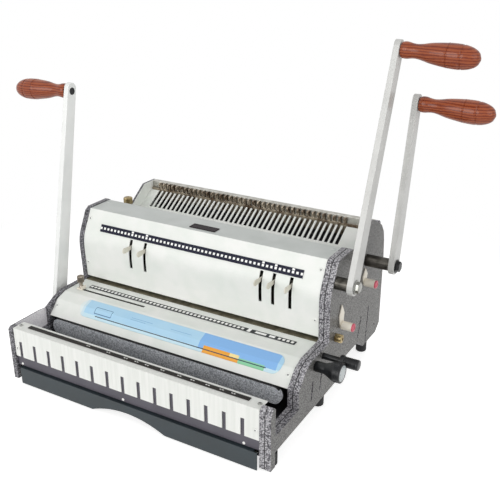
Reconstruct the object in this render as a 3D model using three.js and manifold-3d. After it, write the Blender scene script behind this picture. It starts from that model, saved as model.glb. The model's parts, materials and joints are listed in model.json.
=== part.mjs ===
// Desk binding machine with a wire closer, a punch unit and an element opener.
// Millimetres, +Z up, -Y towards the person using it. Every plate, bar, shaft, lever and knob
// is its own solid. Heights are measured from the desk.

import * as THREE from 'three';
import { mergeVertices, mergeGeometries } from 'three/addons/utils/BufferGeometryUtils.js';
import Module from 'manifold-3d';

const wasm = await Module();
wasm.setup();

// Clearances and shared finenesses
const seat = 0.3;
const overrun = 2;
const boreClearance = 0.5;
const slideClearance = 0.35;
const roundSides = 24;
const smallRoundSides = 16;
const hexSides = 6;
const boreSteps = 8;
const bendSteps = 6;

// Hole row: the frame's width follows from it
const holePitch = 6.35;
const holeCount = 53;
const holeRowMargin = 29.9;
const holeRowOffset = 0.5;

// Frame: two side plates, with a casing outside the right one
const plateThickness = 7.8;
const casingThickness = 7.8;
const casingWall = 1.8;
const casingRim = 3.5;
const casingHumpPeak = 118;
const pillarLift = 7;
const footRadius = 8;
const plateFloor = 24;
const webThickness = 4;
const frontWebThickness = 2;
const webFloor = 60;
const footTaper = 1;
const sheet = 1.5;

// Front: pillars, rail and the slotted hanger plate
const frontFace = -173;
const pillarDepth = 11;
const pillarTop = 92;
const pillarChamfer = 3.5;
const pillarSlopeRise = 8;
const pillarSlopeRun = 6;
const lowSideTop = 51;
const leftSideTop = 88;
const railBottom = 29.8;
const railTop = 70;
const railThickness = 4;
const hangerSetBack = 1.3;
const hangerThickness = 1.5;
const hangerBottom = 44.4;
const hangerTop = 88;
const hangerFoldDepth = 20.7;
const hangerSideGap = 0.4;
const hangerSlotPitch = 25.4;
const hangerSlotCount = 15;
const hangerSlotWidth = 5.2;
const hangerSlotHeight = 24.1;
const hangerSlotFirst = 11.1;
const stripDepth = 6.3;
const stripThickness = 0.8;
const stripLength = 351;
const stripBack = 5.2;

// Base pan with the drawer channels folded under it
const panBottom = 29.5;
const panThickness = 2;
const panRearInset = 3;
const channelDrop = 11.5;
const channelLedge = 7;
const channelEnd = 25;
const chipWindowSideGap = 20;
const chipWindowDepth = 20;

// Chip drawer
const drawerFrontThickness = 1.5;
const drawerFrontBottom = 3;
const drawerSideGap = 7.5;
const drawerRightGap = 2;
const drawerReveal = 1.5;
const drawerFoldDepth = 8.6;
const drawerFoldThickness = 1.2;
const archHalfWidth = 59;
const archHeight = 13;
const trayFloor = 13.5;
const trayWall = 1.2;
const trayTop = 26;
const traySideGap = 9;
const trayStart = 42;
const trayEnd = 22;
const trayFlange = 5.2;
const trayFlangeThickness = 1.6;
const armHeight = 9;

// Wire closer: press plate on two push rods, driven by the closer shaft
const troughDepth = 69;
const pressThickness = 5;
const pressSideGap = 7.3;
const pressHeight = 24.4;
const pressMiddle = 62.3;
const pushRodRadius = 5;
const pushRodLength = 74;
const pushRodSpread = 140;
const pushRodDrop = 5.3;
const pressGuideWidth = 24;
const pressGuideDepth = 16;
const pressGuideSetBack = 11;
const pressGuideTop = 70;
const closerShaftRadius = 6;
const closerShaftSetBack = 46;
const closerShaftRise = 8.7;
const crankLength = 22;
const crankThickness = 8;
const crankEyeRadius = 6;
const crankSpread = 112;

// Table: the sloped and flat sheet between the closer and the punch unit
const tableLipSetBack = 3;
const tableLipTop = 76;
const tableSlopeRun = 18;
const tableSlopeRise = 19;
const tableShoulderRun = 17;
const tableShoulderRise = 6;
const tableFlatRun = 46;
const tableFlatRise = 0.2;
const sideEdgeProud = 1.2;
const cornerChamfer = 3.5;
const instructionLength = 328;
const instructionDepth = 23;
const instructionThickness = 0.5;
const instructionOffset = 14.5;
const instructionInset = 8;
const scaleLength = 343;
const scaleDepth = 8.4;
const scaleThickness = 0.5;
const scaleFromRear = 17.3;
const scaleOffset = 1.5;

// Side guide in its slot
const guideSlotWidth = 5;
const guideSlotLeft = 13;
const guideSlotLength = 122;
const guideSlotFromRear = 30;
const guideTravel = 100;
const bracketLength = 10.4;
const bracketDepth = 9;
const bracketThickness = 2;
const fenceHeight = 4;
const fenceThickness = 1.2;
const guideScrewRadius = 1.2;
const guideScrewCollarRadius = 3;
const guideScrewCollarHeight = 9;
const guideScrewHeadRadius = 5.3;
const guideScrewHeadHeight = 10;
const guideScrewReach = 8;

// Punch unit: die, pin guide, pin bar and cam shaft
const pinWidth = 3.2;
const pinClearance = 0.4;
const dieThickness = 20;
const dieDepth = 49.5;
const throatHeight = 5;
const pinGuideThickness = 14;
const pinGuideDepth = 24;
const pinGuideSetBack = 7.5;
const pinLine = 17;
const pinLift = 1.5;
const pinLength = 28.5;
const punchBarDepth = 14;
const punchBarHeight = 38.8;
const punchShaftRadius = 5;
const punchShaftSetBack = 19;
const punchShaftTop = 182;
const camRadius = 5.1;
const camOffset = 2.2;
const camThickness = 12;
const camCount = 4;
const camSpread = 300;

// Punch cover, its slots and pull tabs
const coverFootSetBack = 5;
const coverFootRise = 5;
const coverForwardRun = 2;
const coverFaceStartRise = 44.8;
const coverFaceRise = 18;
const coverSlopeRun = 21;
const coverSlopeRise = 40;
const coverTopDepth = 44;
const coverBend = 12;
const coverRearDrop = 57;
const tabSlotWidth = 4.8;
const tabSlotBottom = 137;
const tabSlotTop = 180;
const tabPinNumbers = [9, 13, 43, 46, 50];
const tabThickness = 1.6;
const tabRootHeight = 5.5;
const tabHeight = 8.5;
const tabNeck = 12;
const tabLength = 30;
const tabInset = 7;
const tabRise = 32.8;
const rulerEndMargin = 1.8;
const rulerHeight = 11.2;
const rulerThickness = 0.8;
const rulerAlongSlope = 19.6;
const badgeLength = 42;
const badgeDepth = 14;
const badgeThickness = 0.8;
const badgeFromFront = 14;

// Element opener behind the punch cover
const combDeckTop = 150;
const combDeckGap = 1.5;
const combDeckDepth = 31.5;
const combSlopeRun = 74.5;
const combSlopeRise = 46;
const combSlotPitch = 8.4667;
const combSlotWidth = 5.2;
const combSlotLength = 34.5;
const combSlotFirst = 18.7;
const combSlotEndMargin = 40;
const hookWidth = 2.6;
const hookBarThickness = 3;
const hookBarHeight = 18;
const hookReach = 5;
const hookThickness = 2.2;
const hookDrop = 6.5;
const hookChamfer = 1.3;
const hookBarRise = 3.2;
const hookHeight = 10;
const topBarFlange = 22;
const rearFace = 171;
const rearCoverBottom = 49;
const rearCoverInset = 1;
const openerTop = 210;

// Side plate outline, behind and below
const floorRunEnd = 25;
const archStart = 40;
const archEnd = 88;
const plateArchTop = 43;
const casingFloor = 28.4;
const casingArchTop = 53;
const rearLegStart = 108;
const rearLegEnd = 157;
const rearLegBottom = 36;
const rearCornerTop = 46.5;
const valleyStart = 84;
const valleyEnd = 102;
const valleyTop = 184;
const casingHumpHeight = 46;
// Shares of the depth behind the valley and of the hump's height above it
const casingHumpShares = [
  [0.127, 0.848], [0.207, 0.957], [0.299, 1], [0.402, 0.957], [0.529, 0.835], [0.701, 0.665],
  [0.805, 0.541], [0.917, 0.259], [0.96, -0.061], [0.991, -0.596],
];

// Lever arms and wooden grips
const armThickness = 8;
const armPivotWidth = 24;
const armTipWidth = 17;
const armTipBeyond = 3.5;
const armEndSteps = 8;
const gripLength = 96;
const gripRadius = 15;
const gripBoreShare = 0.88;
const gripDroopAngle = 3;
const gripBoreRadius = 4.4;
const spindleRadius = 4;
const spindleTipGap = 1;
const leverBoltRadius = 7.5;
const leverBoltHeight = 5.5;
const leverWasherRadius = 9.5;
const leverWasherThickness = 1.2;
const leftArmLength = 317.2;
const leftArmLeanAngle = 11.9;
const leftArmStandOff = 11;
const frontArmLength = 296.3;
const frontArmLeanAngle = 20.7;
const frontArmStandOff = 17.8;
const rearArmLength = 216.5;
const rearArmLeanAngle = 10.9;
const rearArmStandOff = 34.8;
const sleeveRadius = 8.5;
const combShaftRadius = 5;
const combShaftY = 100.5;
const combShaftZ = 175.3;

// Knobs on the right side
const stopRodRadius = 4;
const stopRodOffset = 1.5;
const frontKnobY = 19.3;
const frontKnobZ = 112.8;
const rearKnobY = 95.9;
const rearKnobZ = 143.9;
const knobRadius = 5.8;
const knobLength = 15;
const knobCapLength = 2;
const knobCapRadius = 5;
const pointerThickness = 1.5;
const frontPointerLength = 30.6;
const rearPointerLength = 21;
const pointerHalfWidth = 8;
const pointerHubRadius = 5;
const frontPointerTiltAngle = 3.4;
const lockScrewY = 3.4;
const lockScrewZ = 101.2;
const lockScrewRadius = 6;
const lockScrewLength = 10;
const lockScrewStem = 3;
const dialY = -56.7;
const dialZ = 90;
const dialRadius = 13.4;
const dialLength = 9.5;
const dialFlareLength = 13;
const dialNeckRadius = 7;
const dialNeckLength = 14;
const dialSpindleRadius = 4;
const releaseY = -33.6;
const releaseZ = 92.5;
const releaseRadius = 4;
const releaseLength = 49;
const releaseGripRadius = 7;
const releaseGripLength = 20;
const releaseRingRadius = 8;
const releaseRingLength = 5;
const releaseCollarRadius = 5;
const releaseCollarLength = 3;
const releaseInside = 12;
const unitScrewRadius = 7.5;
const unitScrewHeight = 10.5;
const unitScrewStem = 2;
const unitScrewStemHeight = 4;

// Feet
const frontFootSetBack = 23;
const middleFootY = -9;
const rearFootY = 155;
const rearFootInset = 4;

// Small cuts in the casing
const casingSlotWidth = 3.4;
// Each slot's low and high end, as shares of the casing's depth and of the valley's height
const casingSlotShares = [
  { lowBack: 0.311, low: 0.234, highBack: 0.321, high: 0.38 },
  { lowBack: 0.385, low: 0.25, highBack: 0.397, high: 0.38 },
  { lowBack: 0.746, low: 0.321, highBack: 0.775, high: 0.495 },
  { lowBack: 0.84, low: 0.193, highBack: 0.855, high: 0.522 },
];
const casingHoleY = 148.8;
const casingHoleZ = 53;
const casingHoleRadius = 2;

// Places worked out from the sizes above
const holeSpan = holePitch * (holeCount - 1);
const halfInner = holeSpan / 2 + holeRowMargin;
const plateOuter = halfInner + plateThickness;
const plateMiddle = halfInner + plateThickness / 2;
const casingInner = plateOuter + seat;
const casingOuter = casingInner + casingThickness;
const sideBottom = pillarLift + seat;
const panTop = panBottom + panThickness;
const pressFront = frontFace + troughDepth;
const pressBack = pressFront + pressThickness;
const hangerFront = frontFace + hangerSetBack;
const hangerBack = hangerFront + hangerThickness;
const railFront = hangerBack + seat;
const railBack = railFront + railThickness;
const tableLip = pressFront + tableLipSetBack;
const tableSlopeEnd = tableLip + tableSlopeRun;
const tableSlopeTop = tableLipTop + tableSlopeRise;
const tableShoulderEnd = tableSlopeEnd + tableShoulderRun;
const tableShoulderTop = tableSlopeTop + tableShoulderRise;
const tableRear = tableShoulderEnd + tableFlatRun;
const tableTop = tableShoulderTop + tableFlatRise;
const closerShaftY = pressFront + closerShaftSetBack;
const closerShaftZ = pressMiddle + closerShaftRise;
const pushRodZ = pressMiddle - pushRodDrop;
const dieFront = tableRear + seat;
const dieBack = dieFront + dieDepth;
const dieBottom = tableTop - dieThickness;
const pinGuideBottom = tableTop + throatHeight;
const pinGuideTop = pinGuideBottom + pinGuideThickness;
const pinGuideFront = tableRear + pinGuideSetBack;
const pinY = tableRear + pinLine;
const pinBottom = pinGuideBottom + pinLift;
const punchBarBottom = pinBottom + pinLength;
const punchBarTop = punchBarBottom + punchBarHeight;
const tabMiddle = punchBarBottom + tabRise;
const punchBarFront = pinY - punchBarDepth / 2;
const punchShaftY = tableRear + punchShaftSetBack;
const holeFirstX = -holeSpan / 2 + holeRowOffset;
const coverFoot = tableRear + coverFootSetBack;
const coverFootTop = tableTop + coverFootRise;
const coverFace = coverFoot - coverForwardRun;
const coverFaceLow = coverFootTop + coverFaceStartRise;
const coverFaceTop = coverFaceLow + coverFaceRise;
const coverTopFront = coverFace + coverSlopeRun;
const coverTop = coverFaceTop + coverSlopeRise;
const coverTopRear = coverTopFront + coverTopDepth;
const combDeckFront = coverTopRear + combDeckGap;
const combSlopeStart = combDeckFront + combDeckDepth;
const combTipY = combSlopeStart + combSlopeRun;
const combTipZ = combDeckTop + combSlopeRise;
const combAngle = Math.atan2(combSlopeRise, combSlopeRun);
const combFirstX = -halfInner + combSlotFirst;
const combSlotRun = 2 * halfInner - combSlotFirst - combSlotEndMargin;
const combSlotCount = Math.floor(combSlotRun / combSlotPitch) + 1;
const hookBarFront = combTipY + sheet * Math.sin(combAngle) + seat;
const hookBarTop = combTipZ + hookBarRise;
const hookTop = hookBarTop + hookHeight;
const topBarTop = hookTop;
const rearCoverBack = rearFace - rearCoverInset;
const flatAngle = Math.atan2(tableFlatRise, tableFlatRun);
const coverSlopeAngle = Math.atan2(coverSlopeRise, coverSlopeRun);
const guideSlotY = tableRear - guideSlotFromRear;
const guideSlotX = -halfInner + guideSlotLeft;

// Finishes
function finish(color, roughness, metalness) {
  return new THREE.MeshStandardMaterial({ color, roughness, metalness });
}
const hammertone = () => finish(0x6b6a70, 0.5, 0.3);
const hammertoneGrey = () => finish(0x8b8c8a, 0.5, 0.3);
const offWhitePaint = () => finish(0xe6eae3, 0.45, 0);
const slatePanel = () => finish(0x4b5358, 0.55, 0.1);
const blackPlastic = () => finish(0x26282b, 0.4, 0);
const blackRubber = () => finish(0x202122, 0.8, 0);
const steel = () => finish(0x9a9b98, 0.35, 0.9);
const darkSteel = () => finish(0x3b3a38, 0.4, 0.8);
const brass = () => finish(0x8a7248, 0.35, 0.9);
const leverPaint = () => finish(0xe4e6e6, 0.4, 0);
const redWood = () => finish(0x8a3f2a, 0.45, 0);
const ivoryPlastic = () => finish(0xe8e2d2, 0.4, 0);
const printedBlue = () => finish(0xa9cfe6, 0.5, 0);

// Geometry helpers. A profile is a list of [y, z] points swept along X.
const profileToMachine = new THREE.Matrix4().makeBasis(
  new THREE.Vector3(0, 1, 0),
  new THREE.Vector3(0, 0, 1),
  new THREE.Vector3(1, 0, 0),
);

function shapeOf(points) {
  return new THREE.Shape(points.map(([across, up]) => new THREE.Vector2(across, up)));
}

function roundHole(across, up, radius) {
  const hole = new THREE.Path();
  hole.absarc(across, up, radius, 0, 2 * Math.PI, true);
  return hole;
}

function sweepX(profile, fromX, toX, holes = []) {
  const shape = shapeOf(profile);
  shape.holes.push(...holes.map(({ y, z, radius }) => roundHole(y, z, radius)));
  const swept = new THREE.ExtrudeGeometry(shape, {
    depth: toX - fromX,
    bevelEnabled: false,
    curveSegments: boreSteps,
  });
  swept.applyMatrix4(profileToMachine);
  swept.translate(fromX, 0, 0);
  return swept;
}

function block(fromX, toX, fromY, toY, fromZ, toZ) {
  const box = new THREE.BoxGeometry(toX - fromX, toY - fromY, toZ - fromZ);
  box.translate((fromX + toX) / 2, (fromY + toY) / 2, (fromZ + toZ) / 2);
  return box;
}

// A turned piece along +X from the origin, from [distance, radius] points.
function turnedX(profile, sides = roundSides) {
  const points = profile.map(([along, radius]) => new THREE.Vector2(radius, along));
  const turned = new THREE.LatheGeometry(points, sides);
  turned.rotateZ(-Math.PI / 2);
  return turned;
}

function rodX(radius, fromX, toX, y, z, sides = roundSides) {
  const rod = turnedX([[0, 0], [0, radius], [toX - fromX, radius], [toX - fromX, 0]], sides);
  rod.translate(fromX, y, z);
  return rod;
}

function bare(geometry) {
  const copy = geometry.clone();
  copy.deleteAttribute('normal');
  copy.deleteAttribute('uv');
  return mergeVertices(copy, 1e-4);
}

// A lathe leaves flat slivers at its axis, so triangles with two equal corners are dropped.
function solidOf(geometry) {
  const merged = bare(geometry);
  const corners = merged.index.array;
  const kept = [];
  for (let first = 0; first < corners.length; first += 3) {
    const [a, b, c] = [corners[first], corners[first + 1], corners[first + 2]];
    if (a !== b && b !== c && c !== a) {
      kept.push(a, b, c);
    }
  }
  const solid = new wasm.Manifold(new wasm.Mesh({
    numProp: 3,
    vertProperties: new Float32Array(merged.attributes.position.array),
    triVerts: new Uint32Array(kept),
  }));
  return solid.volume() < 0 ? solid.mirror([1, 0, 0]).mirror([1, 0, 0]) : solid;
}

function geometryOf(solid) {
  const { vertProperties, triVerts } = solid.getMesh();
  const geometry = new THREE.BufferGeometry();
  geometry.setAttribute('position', new THREE.BufferAttribute(new Float32Array(vertProperties), 3));
  geometry.setIndex(new THREE.BufferAttribute(new Uint32Array(triVerts), 1));
  return geometry;
}

function joined(...geometries) {
  return geometryOf(geometries.map(solidOf).reduce((sum, solid) => sum.add(solid)));
}

function cut(geometry, ...tools) {
  const toolSolids = tools.map(solidOf);
  return geometryOf(toolSolids.reduce((rest, tool) => rest.subtract(tool), solidOf(geometry)));
}

// Separate closed tools in one geometry, so that one cut makes a whole row of holes.
function row(count, shapeAt) {
  return mergeGeometries(Array.from({ length: count }, (_, place) => shapeAt(place)));
}

// The section of a folded sheet: the outer line, and the same line moved inwards.
function foldedSection(outer, thickness) {
  const inner = outer.map((point, place) => {
    const before = outer[Math.max(place - 1, 0)];
    const after = outer[Math.min(place + 1, outer.length - 1)];
    const normals = [];
    if (place > 0) {
      normals.push(inwardNormal(before, point));
    }
    if (place < outer.length - 1) {
      normals.push(inwardNormal(point, after));
    }
    const sum = normals.reduce(([y, z], [ny, nz]) => [y + ny, z + nz], [0, 0]);
    const length = Math.hypot(sum[0], sum[1]);
    const lean = (sum[0] * normals[0][0] + sum[1] * normals[0][1]) / length;
    const scale = thickness / lean / length;
    return [point[0] + sum[0] * scale, point[1] + sum[1] * scale];
  });
  return [...outer, ...inner.reverse()];
}

function inwardNormal([y1, z1], [y2, z2]) {
  const length = Math.hypot(y2 - y1, z2 - z1);
  return [(z2 - z1) / length, -(y2 - y1) / length];
}

// The wide bend at the middle of three points, which starts and ends at a distance from it
function easedBend([before, corner, after], reach) {
  const [start, end] = [before, after].map((point) => {
    const share = reach / Math.hypot(point[0] - corner[0], point[1] - corner[1]);
    return [corner[0] + (point[0] - corner[0]) * share, corner[1] + (point[1] - corner[1]) * share];
  });
  const bend = new THREE.QuadraticBezierCurve(
    new THREE.Vector2(...start),
    new THREE.Vector2(...corner),
    new THREE.Vector2(...end),
  );
  return bend.getPoints(bendSteps).map(({ x, y }) => [x, y]);
}

const machine = new THREE.Group();

function piece(name, geometry, material, parent = machine) {
  const mesh = new THREE.Mesh(geometry, material);
  mesh.name = name;
  parent.add(mesh);
  return mesh;
}

// Side plates and casing
const closerBore = { y: closerShaftY, z: closerShaftZ, radius: closerShaftRadius + boreClearance };
const punchBore = { y: punchShaftY, z: punchShaftTop, radius: punchShaftRadius + boreClearance };
const combBore = { y: combShaftY, z: combShaftZ, radius: combShaftRadius + boreClearance };
const stopBore = { y: frontKnobY, z: frontKnobZ, radius: stopRodRadius + boreClearance };
const rearKnobBore = { y: rearKnobY, z: rearKnobZ, radius: stopRodRadius + boreClearance };
const dialBore = { y: dialY, z: dialZ, radius: dialSpindleRadius + boreClearance };
const releaseBore = { y: releaseY, z: releaseZ, radius: releaseRadius + boreClearance };
const lockBore = { y: lockScrewY, z: lockScrewZ, radius: lockScrewStem + boreClearance };

const pillarOutline = [
  [frontFace, pillarTop - pillarSlopeRise],
  [frontFace + pillarSlopeRun, pillarTop],
  [frontFace + pillarDepth - pillarChamfer, pillarTop],
  [frontFace + pillarDepth, pillarTop - pillarChamfer],
];
const tableSideFront = tableLip - sideEdgeProud;
const tableOutline = [
  [tableSideFront, tableLipTop + sideEdgeProud],
  [tableSlopeEnd - sideEdgeProud, tableSlopeTop + sideEdgeProud],
  [tableShoulderEnd - sideEdgeProud, tableShoulderTop + sideEdgeProud],
  [tableRear, tableTop + sideEdgeProud],
];
const punchOutline = [
  [coverFoot - sideEdgeProud, coverFootTop - overrun],
  [coverFace - sideEdgeProud, coverFaceLow],
  ...easedBend([
    [coverFace - sideEdgeProud, coverFaceLow],
    [coverFace - sideEdgeProud, coverFaceTop],
    [coverTopFront - cornerChamfer, coverTop - cornerChamfer],
  ], coverBend),
  [coverTopFront - cornerChamfer, coverTop - cornerChamfer],
  [coverTopFront + cornerChamfer, coverTop + sideEdgeProud],
  [coverTopRear, coverTop + sideEdgeProud],
];
const openerOutline = [
  [valleyStart, valleyTop],
  [valleyEnd, valleyTop],
  [combTipY - hookBarHeight, openerTop],
  [rearFace - cornerChamfer, openerTop],
  [rearFace, openerTop - cornerChamfer],
];

function underside(floor, archTop, legBottom) {
  return [
    [rearFace, rearCornerTop],
    [rearLegEnd, legBottom],
    [rearLegStart, legBottom],
    [archEnd, archTop],
    [archStart, archTop],
    [floorRunEnd, floor],
    [frontFace + pillarDepth, floor],
    [frontFace + pillarDepth, sideBottom],
  ];
}

const rightPlateOutline = [
  [frontFace, sideBottom],
  ...pillarOutline,
  [frontFace + pillarDepth, lowSideTop],
  [tableSideFront, lowSideTop],
  ...tableOutline,
  ...punchOutline,
  ...openerOutline,
  ...underside(plateFloor, plateArchTop, rearLegBottom),
];
const leftPlateOutline = [
  [frontFace, sideBottom],
  [frontFace, leftSideTop - pillarChamfer],
  [frontFace + pillarChamfer, leftSideTop],
  [tableSideFront - pillarDepth, leftSideTop],
  [tableSideFront, leftSideTop - sideEdgeProud],
  [tableSlopeEnd - sideEdgeProud, tableSlopeTop + sideEdgeProud],
  [tableShoulderEnd - sideEdgeProud, tableShoulderTop + sideEdgeProud],
  [tableRear, tableTop + sideEdgeProud],
  ...punchOutline,
  ...openerOutline,
  ...underside(plateFloor, panBottom, rearLegBottom),
];
const casingHump = casingHumpShares.map(([back, up]) => [
  valleyStart + back * (rearFace - valleyStart),
  valleyTop + up * casingHumpHeight,
]);
const casingOutline = [
  [frontFace, sideBottom],
  ...pillarOutline,
  [frontFace + pillarDepth, lowSideTop],
  [tableSideFront, lowSideTop],
  ...tableOutline,
  ...punchOutline,
  [valleyStart, valleyTop],
  ...casingHump,
  ...underside(casingFloor, casingArchTop, rearLegBottom),
];

const rightBores = [closerBore, punchBore, combBore, stopBore, rearKnobBore, dialBore, releaseBore];

// The left plate is thinner between pillar and table, where it is set back on its inner side, and
// behind the punch unit. It has no arch in its underside, so that it covers the edge of the pan.
const thinnedLeft = [
  block(-plateOuter + frontWebThickness, -halfInner + overrun, frontFace + pillarDepth,
    tableSideFront, webFloor, leftSideTop + overrun),
  block(-plateOuter - overrun, -halfInner - webThickness, valleyStart, rearFace + overrun,
    rearLegBottom - overrun, openerTop + overrun),
];
piece('left_side_plate', cut(sweepX(leftPlateOutline.reverse(), -plateOuter, -halfInner,
  [closerBore, punchBore, stopBore]), ...thinnedLeft), hammertone());
piece('right_side_plate', sweepX(rightPlateOutline.reverse(), halfInner, plateOuter,
  rightBores), hammertone());

// The casing is a tray with its open side towards the plate.
const pocketOutline = [
  [tableLip + casingRim, lowSideTop + casingRim],
  [tableLip + casingRim, tableLipTop - casingRim],
  [tableSlopeEnd, tableSlopeTop - casingRim],
  [coverFoot, tableTop - casingRim],
  [coverFoot, coverFaceTop],
  [coverTopFront, coverTop - 2 * casingRim],
  [coverTopRear - casingRim, coverTop - 2 * casingRim],
  [valleyStart, valleyTop - 2 * casingRim],
  [casingHumpPeak, openerTop],
  [rearFace - 3 * casingRim, valleyTop],
  [rearFace - 2 * casingRim, rearCornerTop + 3 * casingRim],
  [rearLegStart, casingArchTop + 2 * casingRim],
  [archStart, casingArchTop + casingRim],
];
const casingBody = sweepX(casingOutline.reverse(), casingInner, casingOuter,
  [punchBore, combBore, stopBore, rearKnobBore, dialBore, releaseBore, lockBore]);
const casingPocket = sweepX(pocketOutline.reverse(), casingInner - overrun, casingOuter - casingWall);
const bossRadius = dialNeckRadius;
const casingBosses = [punchBore, combBore, stopBore, rearKnobBore, dialBore, releaseBore, lockBore]
  .map(({ y, z }) => rodX(bossRadius, casingInner - overrun, casingOuter - casingWall / 2, y, z,
    smallRoundSides));
const pocketTool = cut(casingPocket, ...casingBosses);
const casingDepth = rearFace - frontFace;
const casingSlotTools = casingSlotShares.map(({ lowBack, low, highBack, high }) => {
  const lowY = frontFace + lowBack * casingDepth;
  const highY = frontFace + highBack * casingDepth;
  return sweepX([
    [lowY - casingSlotWidth / 2, low * valleyTop],
    [lowY + casingSlotWidth / 2, low * valleyTop],
    [highY + casingSlotWidth / 2, high * valleyTop],
    [highY - casingSlotWidth / 2, high * valleyTop],
  ], casingInner - overrun, casingOuter + overrun);
});
const casingHoleTool = rodX(casingHoleRadius, casingInner - overrun, casingOuter + overrun,
  casingHoleY, casingHoleZ, smallRoundSides);
piece('right_casing', cut(casingBody, pocketTool, ...casingSlotTools, casingHoleTool), hammertoneGrey());

// Base pan: a flat sheet, folded down into a drawer channel along each side
const panHalf = halfInner - seat;
const panFront = railBack + seat;
const panRear = rearFace - panRearInset;
const channelBottom = panBottom - channelDrop;
const channelWalls = [-1, 1].flatMap((side) => {
  const wall = [panHalf - sheet, panHalf].map((x) => side * x).sort((a, b) => a - b);
  const ledge = [panHalf - channelLedge, panHalf].map((x) => side * x).sort((a, b) => a - b);
  return [
    block(wall[0], wall[1], panFront, channelEnd, channelBottom, panBottom + panThickness / 2),
    block(ledge[0], ledge[1], panFront, channelEnd, channelBottom, channelBottom + sheet),
  ];
});
const chipWindowHalf = halfInner - chipWindowSideGap;
const chipWindow = block(-chipWindowHalf, chipWindowHalf,
  pinY - chipWindowDepth / 2, pinY + chipWindowDepth / 2, panBottom - overrun, panTop + overrun);
const panSheet = block(-panHalf, panHalf, panFront, panRear, panBottom, panTop);
piece('base_pan', cut(joined(panSheet, ...channelWalls), chipWindow), hammertone());

// Front rail and the slotted hanger plate that folds back over it
piece('front_rail', block(-panHalf, panHalf, railFront, railBack, railBottom, railTop), hammertone());
const hangerHalf = halfInner - hangerSideGap;
const hangerSection = foldedSection([
  [hangerFront, hangerBottom],
  [hangerFront, hangerTop],
  [hangerFront + hangerFoldDepth, hangerTop],
], hangerThickness);
const hangerSlots = row(hangerSlotCount, (place) => {
  const middle = -halfInner + hangerSlotFirst + place * hangerSlotPitch;
  return block(middle - hangerSlotWidth / 2, middle + hangerSlotWidth / 2,
    hangerFront - overrun, hangerBack + overrun,
    hangerBottom - overrun, hangerBottom + hangerSlotHeight);
});
piece('hanger_plate', cut(sweepX(hangerSection, -hangerHalf, hangerHalf), hangerSlots), offWhitePaint());
const stripRear = hangerFront + hangerFoldDepth - stripBack;
piece('size_strip', block(-stripLength / 2, stripLength / 2, stripRear - stripDepth, stripRear,
  hangerTop + seat, hangerTop + seat + stripThickness), blackPlastic());

// Chip drawer: a front with a finger arch and a fold along its top, and a tray on two arms
const drawerFrontTop = railBottom - drawerReveal;
const drawerFrontBack = frontFace + drawerFrontThickness - hangerSetBack;
const drawerHalf = halfInner - drawerSideGap;
const drawerRight = halfInner - drawerRightGap;
const drawerShape = new THREE.Shape();
drawerShape.moveTo(-drawerHalf, drawerFrontBottom);
drawerShape.lineTo(-archHalfWidth, drawerFrontBottom);
drawerShape.quadraticCurveTo(-archHalfWidth / 2, drawerFrontBottom + archHeight,
  0, drawerFrontBottom + archHeight);
drawerShape.quadraticCurveTo(archHalfWidth / 2, drawerFrontBottom + archHeight,
  archHalfWidth, drawerFrontBottom);
drawerShape.lineTo(drawerRight, drawerFrontBottom);
drawerShape.lineTo(drawerRight, drawerFrontTop);
drawerShape.lineTo(-drawerHalf, drawerFrontTop);
const drawerPanel = new THREE.ExtrudeGeometry(drawerShape, {
  depth: drawerFrontThickness,
  bevelEnabled: false,
  curveSegments: armEndSteps,
});
drawerPanel.rotateX(Math.PI / 2);
drawerPanel.translate(0, drawerFrontBack, 0);
const drawerFold = block(-drawerHalf, drawerHalf, drawerFrontBack - drawerFrontThickness / 2,
  drawerFrontBack + drawerFoldDepth, drawerFrontTop - drawerFoldThickness, drawerFrontTop);
piece('drawer_front', joined(drawerPanel, drawerFold), slatePanel());

const trayHalf = halfInner - traySideGap;
const trayFront = drawerFrontBack + trayStart;
const flangeBottom = channelBottom + sheet + seat;
const trayBox = block(-trayHalf, trayHalf, trayFront, trayEnd, trayFloor, trayTop);
const trayHollow = block(-trayHalf + trayWall, trayHalf - trayWall, trayFront + trayWall,
  trayEnd - trayWall, trayFloor + trayWall, trayTop + overrun);
const trayArms = [-1, 1].flatMap((side) => {
  const arm = [trayHalf - trayWall, trayHalf].map((x) => side * x).sort((a, b) => a - b);
  const flange = [trayHalf - trayWall, trayHalf + trayFlange].map((x) => side * x).sort((a, b) => a - b);
  return [
    block(arm[0], arm[1], drawerFrontBack + seat, trayFront + overrun, trayTop - armHeight, trayTop),
    block(flange[0], flange[1], panFront + overrun, trayEnd, flangeBottom,
      flangeBottom + trayFlangeThickness),
  ];
});
piece('drawer_tray', joined(cut(trayBox, trayHollow), ...trayArms), steel());

// Press plate with its two push rods, and the guides that the rods run in
const pressRadius = pressHeight / 2;
const pressStraight = halfInner - pressSideGap - pressRadius;
const pressShape = new THREE.Shape();
pressShape.moveTo(-pressStraight, pressMiddle - pressRadius);
pressShape.lineTo(pressStraight, pressMiddle - pressRadius);
pressShape.absarc(pressStraight, pressMiddle, pressRadius, -Math.PI / 2, Math.PI / 2, false);
pressShape.lineTo(-pressStraight, pressMiddle + pressRadius);
pressShape.absarc(-pressStraight, pressMiddle, pressRadius, Math.PI / 2, 3 * Math.PI / 2, false);
const pressBlade = new THREE.ExtrudeGeometry(pressShape, {
  depth: pressThickness,
  bevelEnabled: false,
  curveSegments: smallRoundSides,
});
pressBlade.rotateX(Math.PI / 2);
pressBlade.translate(0, pressBack, 0);

function rodY(radius, x, fromY, toY, z, sides = smallRoundSides) {
  const rod = rodX(radius, 0, toY - fromY, 0, 0, sides);
  rod.rotateZ(Math.PI / 2);
  rod.translate(x, fromY, z);
  return rod;
}

const pushRods = [-pushRodSpread, pushRodSpread].map((x) => rodY(
  pushRodRadius, x, pressBack - pressThickness / 2, pressBack + pushRodLength, pushRodZ));
piece('press_plate', joined(pressBlade, ...pushRods), hammertone());

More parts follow.
